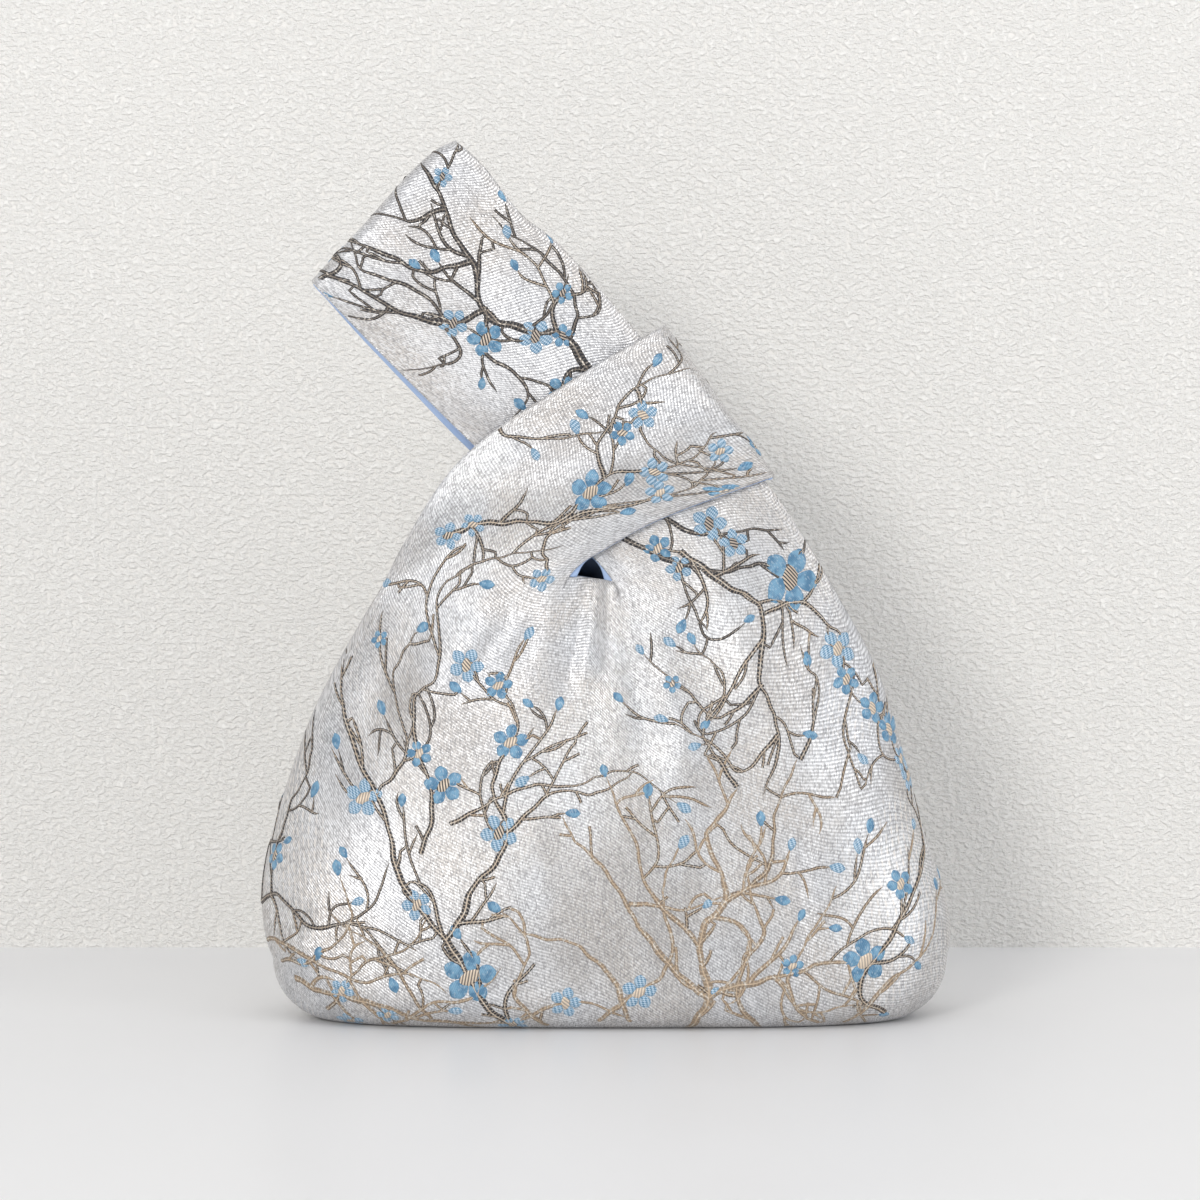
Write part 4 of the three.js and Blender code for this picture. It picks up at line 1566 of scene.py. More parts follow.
FRONT_BOUGHS = tuple(Bough.row(*row) for row in (
    (3.0, 0.42, 38, -28, 34, -42, 52, -52, 70, -66, 88, -70, 108, -84, 126, -86, 146, -78, 166),
    (2.4, 0.4, 32, -52, 70, -40, 88, -30, 104, -34, 124, -24, 142, -34, 162),
    (1.7, 0.3, 26, -30, 104, -14, 114, 2, 112, 14, 124),
    (2.2, 0.6, 30, -134, 52, -114, 62, -96, 64, -78, 76, -70, 92),
    (1.8, 0.6, 30, -118, 60, -112, 84, -100, 104, -98, 126, -88, 142),
    (2.6, 0.08, 22, -106, 38, -84, 45, -60, 42, -36, 39, -12, 44, 8, 38),
    (1.8, 0.5, 30, -58, 98, -54, 120, -60, 142, -50, 160, -54, 182, -44, 200, -26, 212),
    (2.2, 0.42, 26, -64, 194, -50, 212, -34, 222, -38, 244, -30, 262, -34, 282),
    (1.7, 0.5, 20, -38, 244, -54, 256, -62, 274, -60, 292),
    (1.7, 0.42, 20, -34, 222, -22, 238, -20, 258, -28, 274),
    (3.2, 0.0, 34, 26, 34, 34, 50, 30, 66, 40, 84, 36, 104, 46, 124),
    (2.4, 0.04, 30, 34, 50, 18, 60, 8, 76, -4, 92, -12, 106),
    (2.0, 0.06, 28, 30, 66, 16, 82, 10, 100, 4, 118),
    (2.4, 0.03, 28, 34, 50, 54, 58, 72, 60, 88, 58),
    (2.0, 0.12, 28, 40, 84, 56, 96, 58, 114, 68, 128),
    (2.2, 0.3, 26, 92, 36, 84, 50, 96, 64, 112, 72, 118, 88, 108, 104, 102, 122, 96, 140),
    (2.6, 0.5, 28, 42, 208, 50, 190, 58, 174, 56, 156, 62, 138, 54, 120),
    (2.0, 0.4, 26, 58, 174, 74, 166, 84, 152, 88, 136, 98, 124),
    (1.7, 0.5, 24, 56, 156, 42, 148, 32, 158, 18, 168),
    (1.7, 0.34, 24, 62, 138, 48, 130, 38, 140, 24, 146),
    (3.4, 0.95, 34, 62, 268, 66, 284, 56, 298, 50, 312, 60, 326, 66, 344, 72, 362),
    (2.6, 0.9, 28, 50, 312, 36, 314, 26, 326, 18, 340, 12, 354),
    (2.2, 0.9, 26, 60, 326, 46, 334, 36, 348, 28, 364),
    (1.8, 0.85, 22, 56, 298, 70, 296, 82, 302),
    (1.6, 0.75, 22, 36, 314, 30, 300, 12, 294),
    (2.4, 0.9, 16, 14, 336, 24, 346, 20, 362),
    (1.6, 0.6, 22, -133, 72, -121, 92, -123, 112, -112, 134),
    (1.9, 0.1, 20, -122, 44, -102, 52, -82, 51, -66, 58, -52, 52),
    (1.6, 0.14, 20, -92, 36, -80, 58, -64, 67, -56, 82),
    (1.6, 0.34, 24, -48, 108, -26, 119, -6, 115, 12, 122, 26, 116),
    (1.6, 0.5, 26, -72, 112, -62, 130, -66, 148, -58, 166),
    (2.1, 0.02, 22, 8, 35, 1, 52, -12, 64, -28, 70),
    (2.0, 0.05, 24, 50, 36, 43, 56, 52, 74, 47, 92, 56, 110),
    (1.8, 0.03, 20, 70, 38, 60, 52, 66, 70, 78, 84),
    (1.9, 0.02, 22, -3, 36, 12, 48, 22, 64, 19, 84, 27, 100),
    (1.8, 0.46, 16, 46, 124, 37, 142, 44, 160, 35, 176),
    (1.6, 0.5, 12, 68, 128, 77, 141, 70, 158),
    (1.6, 0.45, 18, 118, 88, 125, 104, 118, 124),
    (1.6, 0.4, 22, -20, 196, -32, 214, -28, 232, -16, 246),
    (1.6, 0.45, 20, -62, 274, -46, 266, -30, 262, -18, 268),
    (1.6, 0.5, 20, -78, 232, -64, 240, -54, 256),
    (2.0, 0.92, 20, 66, 344, 54, 350, 44, 362),
    (2.0, 0.88, 24, 50, 312, 40, 300, 42, 284, 30, 272),
    (1.7, 0.9, 22, 66, 284, 76, 290, 80, 312, 78, 334),
    (1.8, 0.92, 22, 36, 314, 38, 330, 28, 342, 34, 358),
    (1.6, 0.9, 16, 26, 326, 14, 318, 6, 322),
    (1.6, 0.03, 18, 8, 76, 24, 78, 40, 84),
    (1.6, 0.03, 16, 54, 58, 66, 46, 82, 44),
    (1.7, 0.12, 20, -58, 42, -66, 56, -74, 64, -92, 72),
    (2.4, 0.85, 22, 28, 218, 38, 204, 50, 196, 66, 186, 78, 172),
    (2.0, 0.85, 20, 44, 226, 52, 210, 66, 200, 82, 192),
    (1.8, 0.7, 18, 38, 204, 34, 190, 40, 178),
    (1.9, 0.12, 22, -112, 40, -96, 54, -84, 70, -86, 84),
    (1.9, 0.06, 22, -18, 35, -30, 50, -24, 64, -34, 78),
    (1.9, 0.06, 20, 78, 36, 92, 46, 108, 50, 118, 62),
    (1.8, 0.05, 20, -70, 36, -58, 48, -44, 50, -34, 60),
))
FRONT_CLUSTERS = tuple(Cluster(*row) for row in (
    (-46, 56, 4, 1, 20), (-64, 82, 6, 1, 14), (-78, 110, 6, 1, 15), (-32, 106, 6, 1, 14),
    (-28, 136, 6, 1, 14), (-58, 128, 6, 2, 14), (-42, 164, 7, 2, 15), (-70, 152, 7, 1, 10),
    (-30, 42, 9, 2, 12), (-88, 48, 8, 1, 13), (62, 60, 8, 1, 12), (84, 60, 4, 1, 18), (104, 74, 7, 1, 12),
    (114, 98, 6, 2, 11), (100, 126, 6, 2, 12), (86, 150, 6, 2, 14), (72, 176, 5, 1, 22), (38, 204, 5, 3, 15),
    (64, 198, 5, 2, 14), (-36, 236, 5, 1, 20), (-28, 252, 8, 3, 13), (-60, 204, 7, 2, 13),
    (-50, 262, 8, 2, 12), (-26, 276, 7, 2, 12), (38, 312, 5, 2, 16), (62, 284, 7, 3, 13), (76, 300, 5, 1, 12),
    (72, 350, 8, 1, 9), (-112, 74, 8, 1, 11), (14, 42, 10, 1, 13), (28, 160, 8, 1, 9), (-20, 190, 7, 1, 11),
    (-74, 40, 8, 2, 12),
))
BACK_BOUGHS = tuple(Bough.row(*row) for row in (
    (3.2, 0.34, 39, 24, 34, 36, 52, 50, 70, 56, 92, 66, 112, 60, 136, 66, 160),
    (2.2, 0.28, 33, 50, 70, 34, 86, 16, 94, 2, 110, -12, 124),
    (2.2, 0.5, 31, 128, 60, 106, 64, 90, 80, 86, 104, 98, 128),
    (3.0, 0.06, 35, -30, 32, -36, 50, -50, 62, -44, 84, -30, 100, -24, 118),
    (2.2, 0.12, 31, -50, 62, -68, 76, -70, 100, -84, 118, -92, 136),
    (2.2, 0.34, 27, -112, 34, -104, 52, -112, 74, -122, 94, -112, 118),
    (2.4, 0.12, 27, 10, 36, -12, 44, -40, 40, -74, 44, -96, 38),
    (2.4, 0.42, 31, -26, 182, -42, 168, -54, 150, -72, 142, -88, 126),
    (2.2, 0.5, 29, 28, 184, 34, 208, 48, 226, 44, 252, 56, 276),
    (2.6, 0.88, 31, 14, 372, 28, 350, 46, 334, 52, 312, 66, 300),
    (2.0, 0.85, 27, 66, 366, 56, 346, 46, 334),
    (2.2, 0.4, 29, -70, 196, -54, 216, -48, 240, -34, 258, -28, 286),
    (1.8, 0.45, 24, -72, 322, -54, 300, -38, 286),
    (2.0, 0.16, 29, 110, 38, 92, 46, 70, 42, 44, 46),
    (1.7, 0.5, 27, 112, 90, 124, 108, 116, 130),
    (1.9, 0.5, 33, 66, 112, 80, 126, 78, 150, 88, 166),
    (1.8, 0.4, 33, 16, 94, 22, 116, 14, 136, 26, 152),
    (1.7, 0.4, 31, -12, 124, -8, 146, -22, 164),
    (2.0, 0.08, 33, -36, 50, -18, 64, -10, 84, 4, 92),
    (1.8, 0.14, 29, -84, 44, -90, 62, -84, 82),
    (1.6, 0.45, 25, -122, 94, -128, 110),
    (1.8, 0.4, 33, -70, 100, -56, 118, -60, 136),
    (1.8, 0.1, 29, 36, 52, 22, 58, 8, 72),
    (1.7, 0.5, 27, 48, 226, 62, 240, 60, 262),
    (1.7, 0.5, 27, -48, 240, -64, 252, -66, 274),
    (1.8, 0.85, 29, 52, 312, 38, 304, 34, 288),
    (1.8, 0.88, 27, 28, 350, 16, 340, 14, 322),
    (1.8, 0.85, 27, 56, 346, 68, 336, 72, 318),
    (2.0, 0.08, 28, -6, 36, 4, 54, 0, 70, 10, 84),
    (1.9, 0.2, 26, 88, 40, 96, 54, 112, 62, 122, 78),
    (1.8, 0.4, 26, 8, 120, 24, 132, 38, 128, 50, 140),
))
BACK_CLUSTERS = tuple(Cluster(*row) for row in (
    (48, 66, 6, 2, 17), (74, 90, 8, 2, 13), (60, 122, 8, 2, 14), (40, 146, 9, 2, 12), (-50, 62, 7, 2, 15),
    (-70, 92, 8, 2, 13), (-112, 88, 8, 2, 13), (-90, 128, 8, 2, 14), (-60, 150, 8, 3, 16),
    (100, 54, 10, 2, 13), (0, 42, 16, 2, 12), (46, 240, 9, 4, 15), (-46, 240, 9, 4, 15), (-34, 280, 8, 2, 12),
    (48, 322, 9, 3, 14), (30, 356, 9, 1, 10), (-100, 42, 10, 1, 12), (20, 110, 10, 1, 12),
    (-28, 104, 10, 1, 11), (84, 160, 6, 1, 13),
))


class FinishBench:
    """A workbench on which one finish's nodes are put together."""

    def __init__(self, name: str) -> None:
        """Starts a material of a name with one principled shader."""
        self.material = bpy.data.materials.new(name)
        self.material.use_nodes = True
        self.tree = self.material.node_tree
        self.tree.nodes.clear()
        self.shader = self.tree.nodes.new("ShaderNodeBsdfPrincipled")
        self.output = self.tree.nodes.new("ShaderNodeOutputMaterial")
        self.put(self.output.inputs["Surface"], self.shader.outputs["BSDF"])

    def put(self, socket: Socket, value: Input) -> None:
        """Links a socket to another, or sets its own value."""
        if isinstance(value, Socket):
            self.tree.links.new(value, socket)
        else:
            socket.default_value = (*value, 1.0) if socket.type == "RGBA" else value

    def node(self, kind: str, inputs: dict[str | int, Input] | None = None,
             **settings: str) -> bpy.types.Node:
        """Adds a node.

        Args:
            kind: The node's type, without the words that every shader node's type starts with.
            inputs: What goes into its sockets, by name or number.
            settings: The node's own options.

        Returns:
            The node.
        """
        made = self.tree.nodes.new("ShaderNode" + kind)
        for label, value in settings.items():
            setattr(made, label, value)
        for key, value in (inputs or {}).items():
            self.put(made.inputs[key], value)
        return made

    def sum(self, operation: str, *values: Socket | float) -> Socket:
        """Returns the result of one step of arithmetic on its values."""
        return self.node("Math", dict(enumerate(values)), operation=operation).outputs[0]

    def times(self, a: Socket | float, b: Socket | float) -> Socket:
        """Returns the product of two numbers."""
        return self.sum("MULTIPLY", a, b)

    def vector(self, operation: str, *values: Input) -> Socket:
        """Returns the result of one step of arithmetic on vectors."""
        return self.node("VectorMath", dict(enumerate(values)), operation=operation).outputs["Vector"]

    def ease(self, value: Socket, low: float, high: float, start: float = 0.0, end: float = 1.0) -> Socket:
        """Eases a number from start to end while it goes from low to high."""
        inputs = {"Value": value, "From Min": low, "From Max": high, "To Min": start, "To Max": end}
        return self.node("MapRange", inputs, interpolation_type="SMOOTHSTEP").outputs["Result"]

    def blend(self, share: Socket | float, a: Socket | Colour, b: Socket | Colour) -> Socket:
        """Returns colour a turning into colour b by a share."""
        return self.node("Mix", {0: share, 6: a, 7: b}, data_type="RGBA", blend_type="MIX").outputs[2]

    def cloth(self, label: str = "cut") -> tuple[Socket, Socket, Socket]:
        """Returns the place on a UV map in millimetres: as a vector, across and along."""
        uv = self.node("UVMap", uv_map=label).outputs["UV"]
        place = self.node("VectorMath", {0: uv, 3: 1 / MM}, operation="SCALE")
        parts = self.node("SeparateXYZ", {0: place.outputs["Vector"]})
        return place.outputs["Vector"], parts.outputs[0], parts.outputs[1]

    def attribute(self, label: str) -> Socket:
        """Returns a number that the mesh holds at each point."""
        return self.node("Attribute", attribute_name=label).outputs["Fac"]

    def stretch(self, place: Socket, across: float, along: float, turn: float = 0.0) -> Socket:
        """Returns the place turned and scaled, for a pattern that is longer one way.

        Args:
            place: The place.
            across: The scale across.
            along: The scale along.
            turn: The turn in degrees.

        Returns:
            The new place.
        """
        tip = (0.0, 0.0, math.radians(turn))
        inputs = {"Vector": place, "Rotation": tip, "Scale": (across, along, across)}
        return self.node("Mapping", inputs).outputs["Vector"]

    def cloud(self, place: Socket, size: float, detail: float = 2.0, roughness: float = 0.5) -> Socket:
        """Returns soft noise of a given size in millimetres."""
        inputs = {"Vector": place, "Scale": 1 / size, "Detail": detail, "Roughness": roughness}
        return self.node("TexNoise", inputs).outputs["Fac"]

    def stitches(self, place: Socket, across: float, along: float, turn: float) -> tuple[Socket, Socket]:
        """Lays cells as long as a stitch.

        Args:
            place: The place on the cloth in millimetres.
            across: How wide a stitch is.
            along: How long it is.
            turn: The way that it lies, in degrees.

        Returns:
            A random number for each cell, and the distance from its middle.
        """
        at = self.stretch(place, 1 / across, 1 / along, turn)
        inputs = {"Vector": at, "Scale": 1.0, "Randomness": 0.75}
        made = self.node("TexVoronoi", inputs, voronoi_dimensions="2D")
        return self.node("SeparateColor", {0: made.outputs["Color"]}).outputs[0], made.outputs["Distance"]

    def ribs(self, across: Socket, along: Socket, pitch: float, turn: float,
             drift: Socket | float = 0.0) -> Socket:
        """Returns a wave of ribs from 0 to 1.

        Args:
            across: The place across the cloth in millimetres.
            along: The place along it.
            pitch: The distance from rib to rib.
            turn: The way the ribs run past, in degrees.
            drift: Moves the ribs, in millimetres.

        Returns:
            The wave.
        """
        c, s = heading(turn).tolist()
        moved = self.sum("MULTIPLY_ADD", across, c, self.sum("MULTIPLY_ADD", along, s, drift))
        wave = self.sum("SINE", self.times(moved, 2 * math.pi / pitch))
        return self.sum("MULTIPLY_ADD", wave, 0.5, 0.5)

    def raise_by(self, height: Socket, depth: float, strength: float = 1.0) -> None:
        """Presses a height of some millimetres into the surface."""
        inputs = {"Height": height, "Distance": depth * MM, "Strength": strength}
        self.put(self.shader.inputs["Normal"], self.node("Bump", inputs).outputs["Normal"])

    def finish(self, **values: Input) -> Material:
        """Sets the shader's sockets, named with underscores for spaces, and returns the material."""
        for label, value in values.items():
            self.put(self.shader.inputs[label.replace("_", " ")], value)
        return self.material


@dataclass(frozen=True)
class PaintedSheenPatch:
    """A soft place on the flat cut of painted sheen: a painted highlight, or painted shade where its lift is
    negative.
    """

    place: Place
    reach: Place
    lift: float


# Patches of painted highlight, and of painted shade where the lift is negative, on the silver ground.
PAINTED_SHEEN_PATCHES = (
    PaintedSheenPatch((-78, 213), (16, 20), 0.9), PaintedSheenPatch((-76, 90), (30, 20), 0.8), PaintedSheenPatch((-110, 66), (20, 24), 0.6),
    PaintedSheenPatch((44, 160), (16, 30), 0.2), PaintedSheenPatch((67, 108), (12, 32), 0.6), PaintedSheenPatch((96, 70), (26, 22), 1.3),
    PaintedSheenPatch((-50, 136), (20, 26), -1.1), PaintedSheenPatch((40, 300), (26, 34), 1.0), PaintedSheenPatch((8, 76), (42, 36), -1.0),
    PaintedSheenPatch((-96, 150), (24, 40), 0.5), PaintedSheenPatch((96, 126), (20, 34), 0.1), PaintedSheenPatch((-60, 250), (20, 22), -0.5),
    PaintedSheenPatch((-4, 138), (20, 26), -0.4), PaintedSheenPatch((20, 340), (30, 22), 0.25), PaintedSheenPatch((22, 130), (12, 26), -0.3),
)


@dataclass(frozen=True)
class BrocadeGround:
    """The silver ground: fine twill with painted glints on its floats, painted sheen and painted shade in
    cloudy patches, and dashed along the flank.
    """

    cool: Colour = (0.65, 0.655, 0.675)
    warm: Colour = (0.65, 0.615, 0.585)
    # The colours of the painted highlight and of the painted shade.
    painted_highlight: Colour = (0.93, 0.93, 0.94)
    painted_shade: Colour = (0.48, 0.455, 0.435)
    shade: Colour = (0.22, 0.215, 0.22)
    dash: Colour = (0.84, 0.79, 0.74)
    twill_pitch: float = 0.96
    twill_turn: float = 62
    twill_drift: float = 1.1
    float_stitch: tuple[float, float, float] = (0.42, 0.95, 16)
    fine_stitch: tuple[float, float, float] = (0.36, 0.8, -24)
    tint_size: float = 38.0
    ragged_reach: float = 13.0
    dash_pitch: float = 2.3
    dash_length: float = 3.1
    relief: float = 0.12

    def material(self) -> Material:
        """Builds the finish.

        Returns:
            The material.
        """
        bench = FinishBench("silver_brocade")
        place, across, along = bench.cloth()
        drift = bench.times(bench.cloud(place, 10.0), self.twill_drift)
        twill = bench.ribs(across, along, self.twill_pitch, self.twill_turn, drift)
        chance, middle = bench.stitches(place, *self.float_stitch)
        fine, _ = bench.stitches(place, *self.fine_stitch)
        tint = bench.cloud(place, self.tint_size, 3.0, 0.55)
        # The satin field is painted sheen: positive for painted highlight, negative for painted shade.
        satin = self.satin(bench, place)
        colour = bench.blend(bench.ease(tint, 0.38, 0.64), self.cool, self.warm)
        # Painted shade where the painted sheen is negative, then painted highlight where it is positive.
        colour = bench.blend(bench.ease(satin, 0.0, -1.1, 0.0, 0.85), colour, self.painted_shade)
        colour = bench.blend(bench.ease(satin, 0.1, 1.2, 0.0, 0.6), colour, self.painted_highlight)
        colour = bench.blend(bench.ease(fine, 0.3, 1.0, 0.0, 0.62), colour, self.shade)
        colour = bench.blend(bench.ease(twill, 0.6, 0.1, 0.0, 0.42), colour, self.shade)
        # Painted glints: bright flecks on floats and twill crests, stronger where the painted sheen is bright.
        lit = bench.times(bench.ease(chance, 0.45, 0.85), bench.ease(satin, -0.8, 0.8, 0.4, 0.85))
        lit = bench.times(lit, bench.ease(twill, 0.2, 0.75, 0.3, 1.0))
        colour = bench.blend(lit, colour, self.painted_highlight)
        dashes = self.dashes(bench, place, across, along)
        colour = bench.blend(bench.times(dashes, 0.7), colour, self.dash)
        height = bench.sum("MULTIPLY_ADD", twill, 0.6, bench.times(chance, 0.5))
        height = bench.sum("MULTIPLY_ADD", bench.sum("SUBTRACT", 0.5, middle), 0.4, height)
        bench.raise_by(height, self.relief)
        roughness = bench.ease(chance, 0.3, 1.0, 0.46, 0.28)
        return bench.finish(
            Base_Color=colour, Roughness=roughness, Metallic=0.5, Sheen_Weight=0.08, Sheen_Roughness=0.4)

    def satin(self, bench: FinishBench, place: Socket) -> Socket:
        """Lays the painted sheen: painted highlight and painted shade in patches with ragged edges, and
        painted cloudy sheen between them.

        Args:
            bench: The bench of the ground.
            place: The place on the flat cut.

        Returns:
            How bright the satin is, from -1 to 1.
        """
        ragged = bench.node("TexNoise", {"Vector": place, "Scale": 1 / 17, "Detail": 4.0}).outputs["Color"]
        reach = self.ragged_reach
        moved = bench.vector("MULTIPLY_ADD", ragged, (2 * reach, 2 * reach, 0.0), place)
        cloud = bench.cloud(bench.stretch(place, 1.5, 0.7, 20), 26.0, 3.0)
        total = bench.ease(cloud, 0.32, 0.68, -0.45, 0.45)
        for patch in PAINTED_SHEEN_PATCHES:
            wide, high = 1 / patch.reach[0], 1 / patch.reach[1]
            back = (-(patch.place[0] + reach) * wide, -(patch.place[1] + reach) * high, 0.0)
            away = bench.vector("MULTIPLY_ADD", moved, (wide, high, 0.0), back)
            far = bench.node("VectorMath", {0: away}, operation="LENGTH").outputs["Value"]
            total = bench.sum("ADD", total, bench.ease(far, 1.3, 0.1, 0.0, patch.lift))
        return total

    def dashes(self, bench: FinishBench, place: Socket, across: Socket, along: Socket) -> Socket:
        """Lays the lines of long warp floats that follow the side seams.

        Args:
            bench: The bench of the ground.
            place: The place on the flat cut.
            across: The same, across the cloth.
            along: The same, along it.

        Returns:
            1 on a float and 0 beside it.
        """
        sway = bench.times(bench.cloud(place, 26.0, 1.0), 9.0)
        line = bench.sum("DIVIDE", bench.sum("ADD", across, sway), self.dash_pitch)
        number = bench.sum("FLOOR", line)
        start = bench.node("TexWhiteNoise", {"W": number}, noise_dimensions="1D").outputs["Value"]
        beat = bench.sum("MULTIPLY_ADD", along, 1 / self.dash_length, bench.times(start, 7.0))
        beat = bench.sum("FRACT", beat)
        aside = bench.sum("ABSOLUTE", bench.sum("SUBTRACT", bench.sum("FRACT", line), 0.5))
        lit = bench.times(bench.sum("LESS_THAN", beat, 0.66), bench.ease(aside, 0.2, 0.06))
        patch = bench.ease(bench.cloud(place, 45.0, 1.0), 0.42, 0.56)
        flank = bench.ease(bench.sum("ABSOLUTE", across), 66.0, 104.0, 0.12, 1.0)
        return bench.times(lit, bench.times(patch, flank))


@dataclass(frozen=True)
class BoughThread:
    """The boughs' thread: a tan and cream core between dark stitched outlines, charcoal on the long strap."""

    tan: Colour = (0.53, 0.405, 0.285)
    cream: Colour = (0.74, 0.67, 0.58)
    brown: Colour = (0.045, 0.034, 0.027)
    charcoal: Colour = (0.022, 0.022, 0.027)
    stitch: tuple[float, float, float] = (0.6, 0.9, 30)
    stitch_pitch: float = 1.15
    stitch_turn: float = 68
    relief: float = 0.1

    def material(self) -> Material:
        """Builds the finish.

        Returns:
            The material.
        """
        bench = FinishBench("bough_thread")
        _, across, along = bench.cloth("grain")
        tone = bench.attribute("tone")
        chance, _ = bench.stitches(bench.cloth()[0], *self.stitch)
        core = bench.blend(bench.ease(tone, 0.08, 0.42, 0.0, 0.3), self.tan, self.cream)
        # Painted highlights: random cream flecks on the core.
        core = bench.blend(bench.ease(chance, 0.6, 0.9), core, self.cream)
        core = bench.blend(bench.ease(tone, 0.36, 0.86, 0.0, 0.68), core, self.charcoal)
        # Painted glints: cream flecks on the charcoal thread.
        painted_glints = bench.times(bench.ease(chance, 0.72, 0.9), bench.ease(tone, 0.5, 0.9))
        core = bench.blend(painted_glints, core, self.cream)
        outline = bench.blend(bench.ease(tone, 0.1, 0.45), self.brown, self.charcoal)
        beat = bench.ribs(across, along, self.stitch_pitch, self.stitch_turn, bench.times(chance, 0.5))
        side = bench.sum("MULTIPLY_ADD", across, 0.22, bench.sum("ABSOLUTE", across))
        share = bench.times(bench.ease(side, 0.04, 0.26), bench.ease(beat, 0.12, 0.42, 0.5, 1.0))
        share = bench.times(share, bench.ease(tone, 0.0, 0.26, 0.56, 1.0))
        bench.raise_by(bench.sum("ADD", beat, chance), self.relief)
        return bench.finish(Base_Color=bench.blend(share, core, outline), Roughness=0.5, Metallic=0.2)


@dataclass(frozen=True)
class PetalThread:
    """The petals' thread: blue satin floats, or a check of blue and silver."""

    pale: Colour = (0.205, 0.39, 0.55)
    deep: Colour = (0.062, 0.175, 0.305)
    silver: Colour = (0.47, 0.56, 0.64)
    white: Colour = (0.50, 0.64, 0.77)
    check: float = 0.62
    float_pitch: float = 0.55
    stitch: tuple[float, float, float] = (0.45, 0.7, 60)
    relief: float = 0.1

    def material(self) -> Material:
        """Builds the finish.

        Returns:
            The material.
        """
        bench = FinishBench("petal_thread")
        place, across, along = bench.cloth("grain")
        cut, cut_across, cut_along = bench.cloth()
        tone = bench.attribute("tone")
        drift = bench.times(bench.cloud(cut, 2.0), 0.5)
        floats = bench.ribs(cut_across, cut_along, self.float_pitch, 24, drift)
        cloud = bench.cloud(bench.stretch(place, 2.4, 1.0), 3.2)
        share = bench.sum("MULTIPLY_ADD", floats, 0.3, bench.ease(cloud, 0.4, 0.62, 0.0, 0.7))
        own = bench.sum("FLOORED_MODULO", bench.sum("ADD", across, PAD_SPACING / 2), PAD_SPACING)
        aside = bench.sum("ABSOLUTE", bench.sum("SUBTRACT", own, PAD_SPACING / 2))
        # Painted shade along each petal's edges and at its root beside the heart.
        painted_edge_shade = bench.sum("MAXIMUM", bench.ease(aside, 0.6, 0.95), bench.ease(along, 1.8, 0.4))
        satin = bench.blend(bench.sum("MAXIMUM", share, bench.times(painted_edge_shade, 0.75)), self.pale, self.deep)
        weave_place = bench.stretch(cut, 0.7 / self.check, 1.3 / self.check, 38)
        squares = bench.node("TexChecker", {"Vector": weave_place, "Scale": 1.0}).outputs["Fac"]
        check = bench.blend(squares, bench.blend(0.6, self.pale, self.deep), self.white)
        check = bench.blend(bench.times(painted_edge_shade, 0.8), check, bench.blend(0.5, self.pale, self.deep))
        chance, _ = bench.stitches(cut, *self.stitch)
        colour = bench.blend(tone, satin, check)
        # Painted highlights: random silver flecks on the petals.
        colour = bench.blend(bench.ease(chance, 0.78, 0.95, 0.0, 0.45), colour, self.silver)
        bench.raise_by(bench.sum("ADD", floats, bench.times(squares, tone)), self.relief)
        return bench.finish(
            Base_Color=colour, Roughness=0.4, Metallic=0.12, Sheen_Weight=0.15, Sheen_Roughness=0.35)


@dataclass(frozen=True)
class HeartThread:
    """The blossoms' hearts: slanting ribs of tan and silver, or charcoal and cream."""

    light: Colour = (0.72, 0.60, 0.47)
    mid: Colour = (0.40, 0.34, 0.29)
    dark: Colour = (0.03, 0.03, 0.035)
    rib_pitch: float = 0.95
    relief: float = 0.14

    def material(self) -> Material:
        """Builds the finish.

        Returns:
            The material.
        """
        bench = FinishBench("heart_thread")
        _, across, along = bench.cloth("grain")
        tone = bench.attribute("tone")
        ribs = bench.ribs(across, along, self.rib_pitch, 48)
        gap = bench.blend(bench.ease(tone, 0.2, 0.7), self.mid, self.dark)
        lit = bench.blend(bench.ease(tone, 0.45, 0.95, 0.0, 0.8), self.light, self.mid)
        bench.raise_by(ribs, self.relief)
        colour = bench.blend(bench.ease(ribs, 0.3, 0.6), gap, lit)
        return bench.finish(Base_Color=colour, Roughness=0.4, Metallic=0.3)


@dataclass(frozen=True)
class LiningSatin:
    """The lining: smooth pale blue satin, with painted navy shade that deepens inside the bag."""

    pale: Colour = (0.36, 0.49, 0.74)
    bright: Colour = (0.62, 0.72, 0.9)
    # The colour of the painted shade inside the bag.
    painted_inside_shade: Colour = (0.010, 0.014, 0.030)
    rib_pitch: float = 0.5
    relief: float = 0.03

    def material(self) -> Material:
        """Builds the finish.

        Returns:
            The material.
        """
        bench = FinishBench("lining_satin")
        place, across, along = bench.cloth()
        cloud = bench.ease(bench.cloud(place, 22.0), 0.35, 0.7, 0.0, 0.16)
        # Painted shade: the colour turns navy deeper inside the bag, by the "depth" attribute.
        colour = bench.blend(bench.attribute("depth"), bench.blend(cloud, self.pale, self.bright), self.painted_inside_shade)
        bench.raise_by(bench.ribs(across, along, self.rib_pitch, 70), self.relief)
        return bench.finish(Base_Color=colour, Roughness=0.38, Sheen_Weight=0.1, Sheen_Roughness=0.3)


